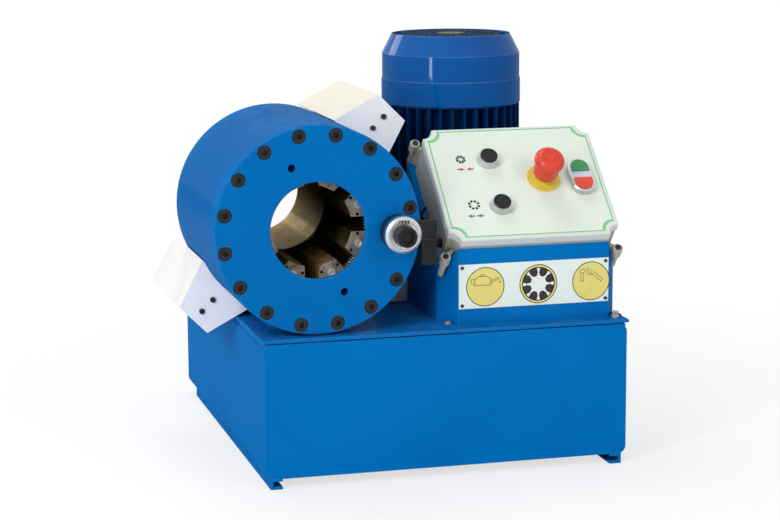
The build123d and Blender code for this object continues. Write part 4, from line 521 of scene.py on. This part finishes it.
PLATE_WHITE = plastic("plate_white", (0.66, 0.74, 0.71), (0.58, 0.66, 0.64), rough=0.4, grain=0.000008)
PALE_INK = plastic("pale_ink", (0.70, 0.72, 0.70), (0.60, 0.62, 0.60), rough=0.45, grain=INK_GRAIN)

LOOKS = {
    "tank_shell": TANK_BLUE, "tank_lid": TANK_BLUE, "skid_rails": TANK_BLUE, "pedestal": BLUE,
    "front_flange": HEAD_BLUE, "head_drum": DRUM_BLUE, "rear_cover": HEAD_BLUE, "return_yoke": HEAD_BLUE,
    # lid_gasket: black rubber, which also gives the dark line of painted shade under the lid's edge
    "plate_screws": BLACK_STEEL, "filler_breather": BLACK, "lid_gasket": RUBBER, "m10_cap_screws": BLACK_STEEL,
    "yoke_screws": BLACK_STEEL, "return_tubes": BLACK_STEEL, "dial_bracket": BLACK_STEEL, "m6_screws": ZINC,
    "m4_screws": BLACK_STEEL, "cone_piston": BRONZE, "piston_seal": RUBBER, "return_rods": BRIGHT,
    "guard_upper": WHITE, "guard_lower": WHITE, "label_plate": PLATE_WHITE, "enclosure_base": BOX_GREY,
    "enclosure_lid": LID_WHITE,
    "button_bezels": CHROME, "twin_bezel": CHROME, "close_button": BLACK, "open_button": BLACK,
    "start_button": GREEN, "stop_button": STOP_RED, "signal_lens": LENS, "estop_base": YELLOW, "estop_stem": RED,
    "estop_head": RED, "limit_switch": BLACK, "dial_housing": DIAL_METAL, "dial_knob": BLACK, "cable_gland": BLACK,
    "dial_cable": RUBBER, "motor_flange": SHADED_FIN_BLUE, "motor_frame": SHADED_FIN_BLUE, "motor_end_shield": MOTOR_BLUE,
    "fan_cover": HOOD_BLUE, "rotor_shaft": BRIGHT, "cooling_fan": BLACK, "terminal_box": MOTOR_BLUE,
    "gear_pump": ALLOY, "valve_block": ALLOY, "solenoid_valve": BLACK, "pressure_pipe": PIPE, "jaw_springs": ZINC}
for number in range(1, JAWS + 1):
    LOOKS[f"jaw_{number}"] = JAW_STEEL
for node, material in LOOKS.items():
    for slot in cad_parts[node].material_slots:
        slot.material = material

# ---------------------------------------------------------------- box lid printing
def lid_outline(side, end, radius):
    """Outline on the lid, in from its sides and from its lower and upper ends."""
    return hollow_corners(side, end, LID_W - side, LID_H - end, radius)


field = Print(panel_point, 0.05)
field.shape(lid_outline(3.2, 2.8, 14.4))
field.make("lid_label_field", FIELD_INK)

border = Print(panel_point, 0.10)
outside = lid_outline(4.6, 4.0, 14.8)
inside = lid_outline(6.6, 6.0, 16.4)
count = len(outside)
for i in range(count):
    j = (i + 1) % count
    border.shape([outside[i], outside[j], inside[j], inside[i]])
border.make("lid_label_border", GREEN_INK)

die_icons = Print(panel_point, 0.12)
for x, y, inner, outer, cover in ((41.1, 130.3, 2.6, 6.5, 36), (41.8, 55.4, 4.2, 7.7, 30)):
    for k in range(JAWS):
        middle_turn = JAW_STEP * (k + 0.5)
        die_icons.ring(x, y, inner, outer, middle_turn - cover / 2, middle_turn + cover / 2, 6)
die_icons.make("lid_die_icons", INK)


def arrow(film, x, y, length, width, facing):
    """A plain arrow with its tip towards facing, 1 for right and -1 for left."""
    head = length * 0.55
    film.shape([(x + facing * length / 2, y), (x + facing * (length / 2 - head), y + width / 2),
                (x + facing * (length / 2 - head), y - width / 2)][::facing])
    film.stroke([(x - facing * length / 2, y), (x + facing * (length / 2 - head), y)], width * 0.42)


close_arrows = Print(panel_point, 0.12)
arrow(close_arrows, 38.0, 113.9, 9.6, 5.4, 1)
arrow(close_arrows, 50.0, 113.9, 9.6, 5.4, -1)
close_arrows.make("lid_close_arrows", RED_INK)
open_arrows = Print(panel_point, 0.12)
arrow(open_arrows, 34.6, 37.7, 9.6, 5.4, -1)
arrow(open_arrows, 46.4, 37.7, 9.6, 5.4, 1)
open_arrows.make("lid_open_arrows", GREY_INK)

# ---------------------------------------------------------------- front label plate printing
DISCS = (-63.9, 5.3, 74.8)
rims = Print(plate_point, 0.05)
yellow = Print(plate_point, 0.09)
for x in DISCS:
    rims.ring(x, 0, 23.6, 24.8)
    yellow.ring(x, 0, 0, 23.7)
rims.make("plate_disc_rims", INK)
yellow.make("plate_discs", YELLOW_INK)

# Middle disc: a pale ring of eight die blocks round a star-shaped opening
middle = Print(plate_point, 0.12)
middle.ring(DISCS[1], 0, 0, 21.2)
middle.make("plate_die_ground", PALE_INK)
dies = Print(plate_point, 0.16)
for k in range(JAWS):
    turn = radians(JAW_STEP * (k + 0.5))
    block = []
    for out, across in ((20.4, 5.6), (20.4, -5.6), (14.2, -5.0), (10.2, -2.2), (10.2, 2.2), (14.2, 5.0)):
        block.append((DISCS[1] + out * cos(turn) - across * sin(turn), out * sin(turn) + across * cos(turn)))
    dies.shape(block)
dies.ring(DISCS[1], 0, 20.2, 21.6)
dies.make("plate_die_ring", INK)

signs = Print(plate_point, 0.13)
# Oil can with its spout, handle and a drop
signs.stroke([(-78, 2), (-57, 2), (-57, 10), (-62, 13), (-73, 13), (-78, 9), (-78, 2)], 1.0)
signs.stroke([(-57, 7), (-46.5, 11), (-46, 9.4), (-57, 4)], 0.9)
signs.stroke([(-78, 10), (-82, 10), (-82, 4), (-78, 4)], 0.9)
signs.stroke([(-70, 13), (-70, 15.5), (-65, 15.5), (-65, 13)], 0.9)
signs.ring(-45.2, 5.2, 0, 1.3, steps=14)
# Open spanner beside a bolt
signs.stroke([(60, 15), (66, 15), (66, 11), (60, 11), (60, 15)], 0.9)
signs.stroke([(61.4, 11), (61.4, 0), (64.6, 0), (64.6, 11)], 0.9)
signs.stroke([(75, 10), (88, -1), (90, 1.4), (78, 12.5)], 0.9)
signs.ring(73.6, 12.6, 4.2, 5.2, 110, 320, 30)
signs.ring(73.6, 12.6, 1.6, 2.4, 60, 370, 24)
signs.make("plate_pictograms", OLIVE_INK)

# ---------------------------------------------------------------- emergency stop marks
STOP_AT = (142, 93)
STOP_TOP = 43.55          # just above the stop's head, from the lid's face
stop_marks = Print(panel_point, STOP_TOP)
stop_marks.ring(*STOP_AT, 9.6, 10.4)
for turn in (90, 210, 330):
    stop_marks.ring(*STOP_AT, 6.2, 7.4, turn - 38, turn + 30, 12)
stop_marks.make("estop_arrows", DEEP_RED, "estop_head_body")

# ---------------------------------------------------------------- dial scale
DIAL = HEAD + Vector((0.097, -0.036, -0.005))


def dial_point(x, z, height=0.0):
    return DIAL + Vector((x * MM, -height * MM, z * MM))


scale_ring = Print(dial_point, 0.05)
scale_ring.ring(0, 0, 12.9, 13.9)
scale_ring.make("dial_scale_ring", INK)
ticks = Print(dial_point, 0.09)
TICKS, TICK_START, TICK_STEP = 46, 122, 6.5
TICK_OUTER, TICK_INNER, LONG_TICK_INNER = 18.2, 16.4, 14.2
for k in range(TICKS):
    turn = radians(TICK_START + k * TICK_STEP)
    inner = TICK_INNER if k % 5 else LONG_TICK_INNER
    ticks.stroke([(r * cos(turn), r * sin(turn)) for r in (inner, TICK_OUTER)], 0.55)
ticks.make("dial_scale_ticks", INK)

# Dark sleeve round the barrel, from the bracket to the silver ring: a black barrel, tinted navy as painted shade
SLEEVE = ((17.2, 32.8), (21.4, 32.8), (21.4, 14.6), (20.6, 14.0), (20.6, 13.2), (17.2, 13.2))
SLEEVE_STEPS = 64
sleeve_points = [dial_point(r * cos(2 * pi * i / SLEEVE_STEPS), r * sin(2 * pi * i / SLEEVE_STEPS), -back)
                 for i in range(SLEEVE_STEPS) for r, back in SLEEVE]
sleeve_faces = [
    (i * len(SLEEVE) + k, i * len(SLEEVE) + (k + 1) % len(SLEEVE),
     (i + 1) % SLEEVE_STEPS * len(SLEEVE) + (k + 1) % len(SLEEVE), (i + 1) % SLEEVE_STEPS * len(SLEEVE) + k)
    for i in range(SLEEVE_STEPS) for k in range(len(SLEEVE))]
mesh_piece("dial_barrel_sleeve", sleeve_points, sleeve_faces, NAVY)

# Three counter wheels with plain numerals in the window
SEGMENTS = {"0": "abcdef", "2": "abdeg", "5": "acdfg"}
STROKES = {"a": ((0, 2), (1, 2)), "b": ((1, 1), (1, 2)), "c": ((1, 0), (1, 1)), "d": ((0, 0), (1, 0)),
           "e": ((0, 0), (0, 1)), "f": ((0, 1), (0, 2)), "g": ((0, 1), (1, 1))}
wheels = Print(dial_point, -1.44)
wheels.shape([(-6.9, 13.7), (6.9, 13.7), (6.9, 18.1), (-6.9, 18.1)])
wheels.make("dial_counter_ground", INK)
digits = Print(dial_point, -1.38)
for place, digit in enumerate("025"):
    for key in SEGMENTS[digit]:
        ends = [(-5.2 + place * 4.3 + x * 1.7, 14.5 + z * 1.35) for x, z in STROKES[key]]
        digits.stroke(ends, 0.4)
digits.make("dial_counter_digits", PALE_INK)

# ---------------------------------------------------------------- jaw springs
SPRING_L = 0.024
SPRING_REACH = 0.072      # spring middle from the head axis
SPRING_BACK = 0.052       # spring middle behind the flange face
COIL_R = 0.0042
WIRE_R = 0.0007
COILS = 7
COIL_STEPS = 20
WIRE_SIDES = 8


def spring(number):
    """Compression spring between two jaws, which the piston squeezes as it closes them; this mesh rides on the
    first jaw and keeps its shape.
    """
    turn = radians(JAW_STEP * number)
    outward = Vector((cos(turn), 0, sin(turn)))
    across = Vector((-sin(turn), 0, cos(turn)))
    back = Vector((0, 1, 0))
    base = HEAD + back * SPRING_BACK + outward * SPRING_REACH - across * (SPRING_L / 2)
    steps = COILS * COIL_STEPS
    points, faces = [], []
    for i in range(steps + 1):
        angle = 2 * pi * i / COIL_STEPS
        out = outward * cos(angle) + back * sin(angle)
        centre = base + across * (SPRING_L * i / steps) + out * COIL_R
        for j in range(WIRE_SIDES):
            side = 2 * pi * j / WIRE_SIDES
            points.append(centre + out * (WIRE_R * cos(side)) + across * (WIRE_R * sin(side)))
    for i in range(steps):
        for j in range(WIRE_SIDES):
            a = i * WIRE_SIDES + j
            b = i * WIRE_SIDES + (j + 1) % WIRE_SIDES
            faces.append((a, b, b + WIRE_SIDES, a + WIRE_SIDES))
    faces.append(tuple(range(WIRE_SIDES)))
    faces.append(tuple(steps * WIRE_SIDES + j for j in reversed(range(WIRE_SIDES))))
    piece = mesh_piece(f"spring_{number}", points, faces, ZINC, f"jaw_{number}_body", smooth=True)
    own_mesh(piece)
    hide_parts("jaw_springs")


for number in range(1, JAWS + 1):
    spring(number)
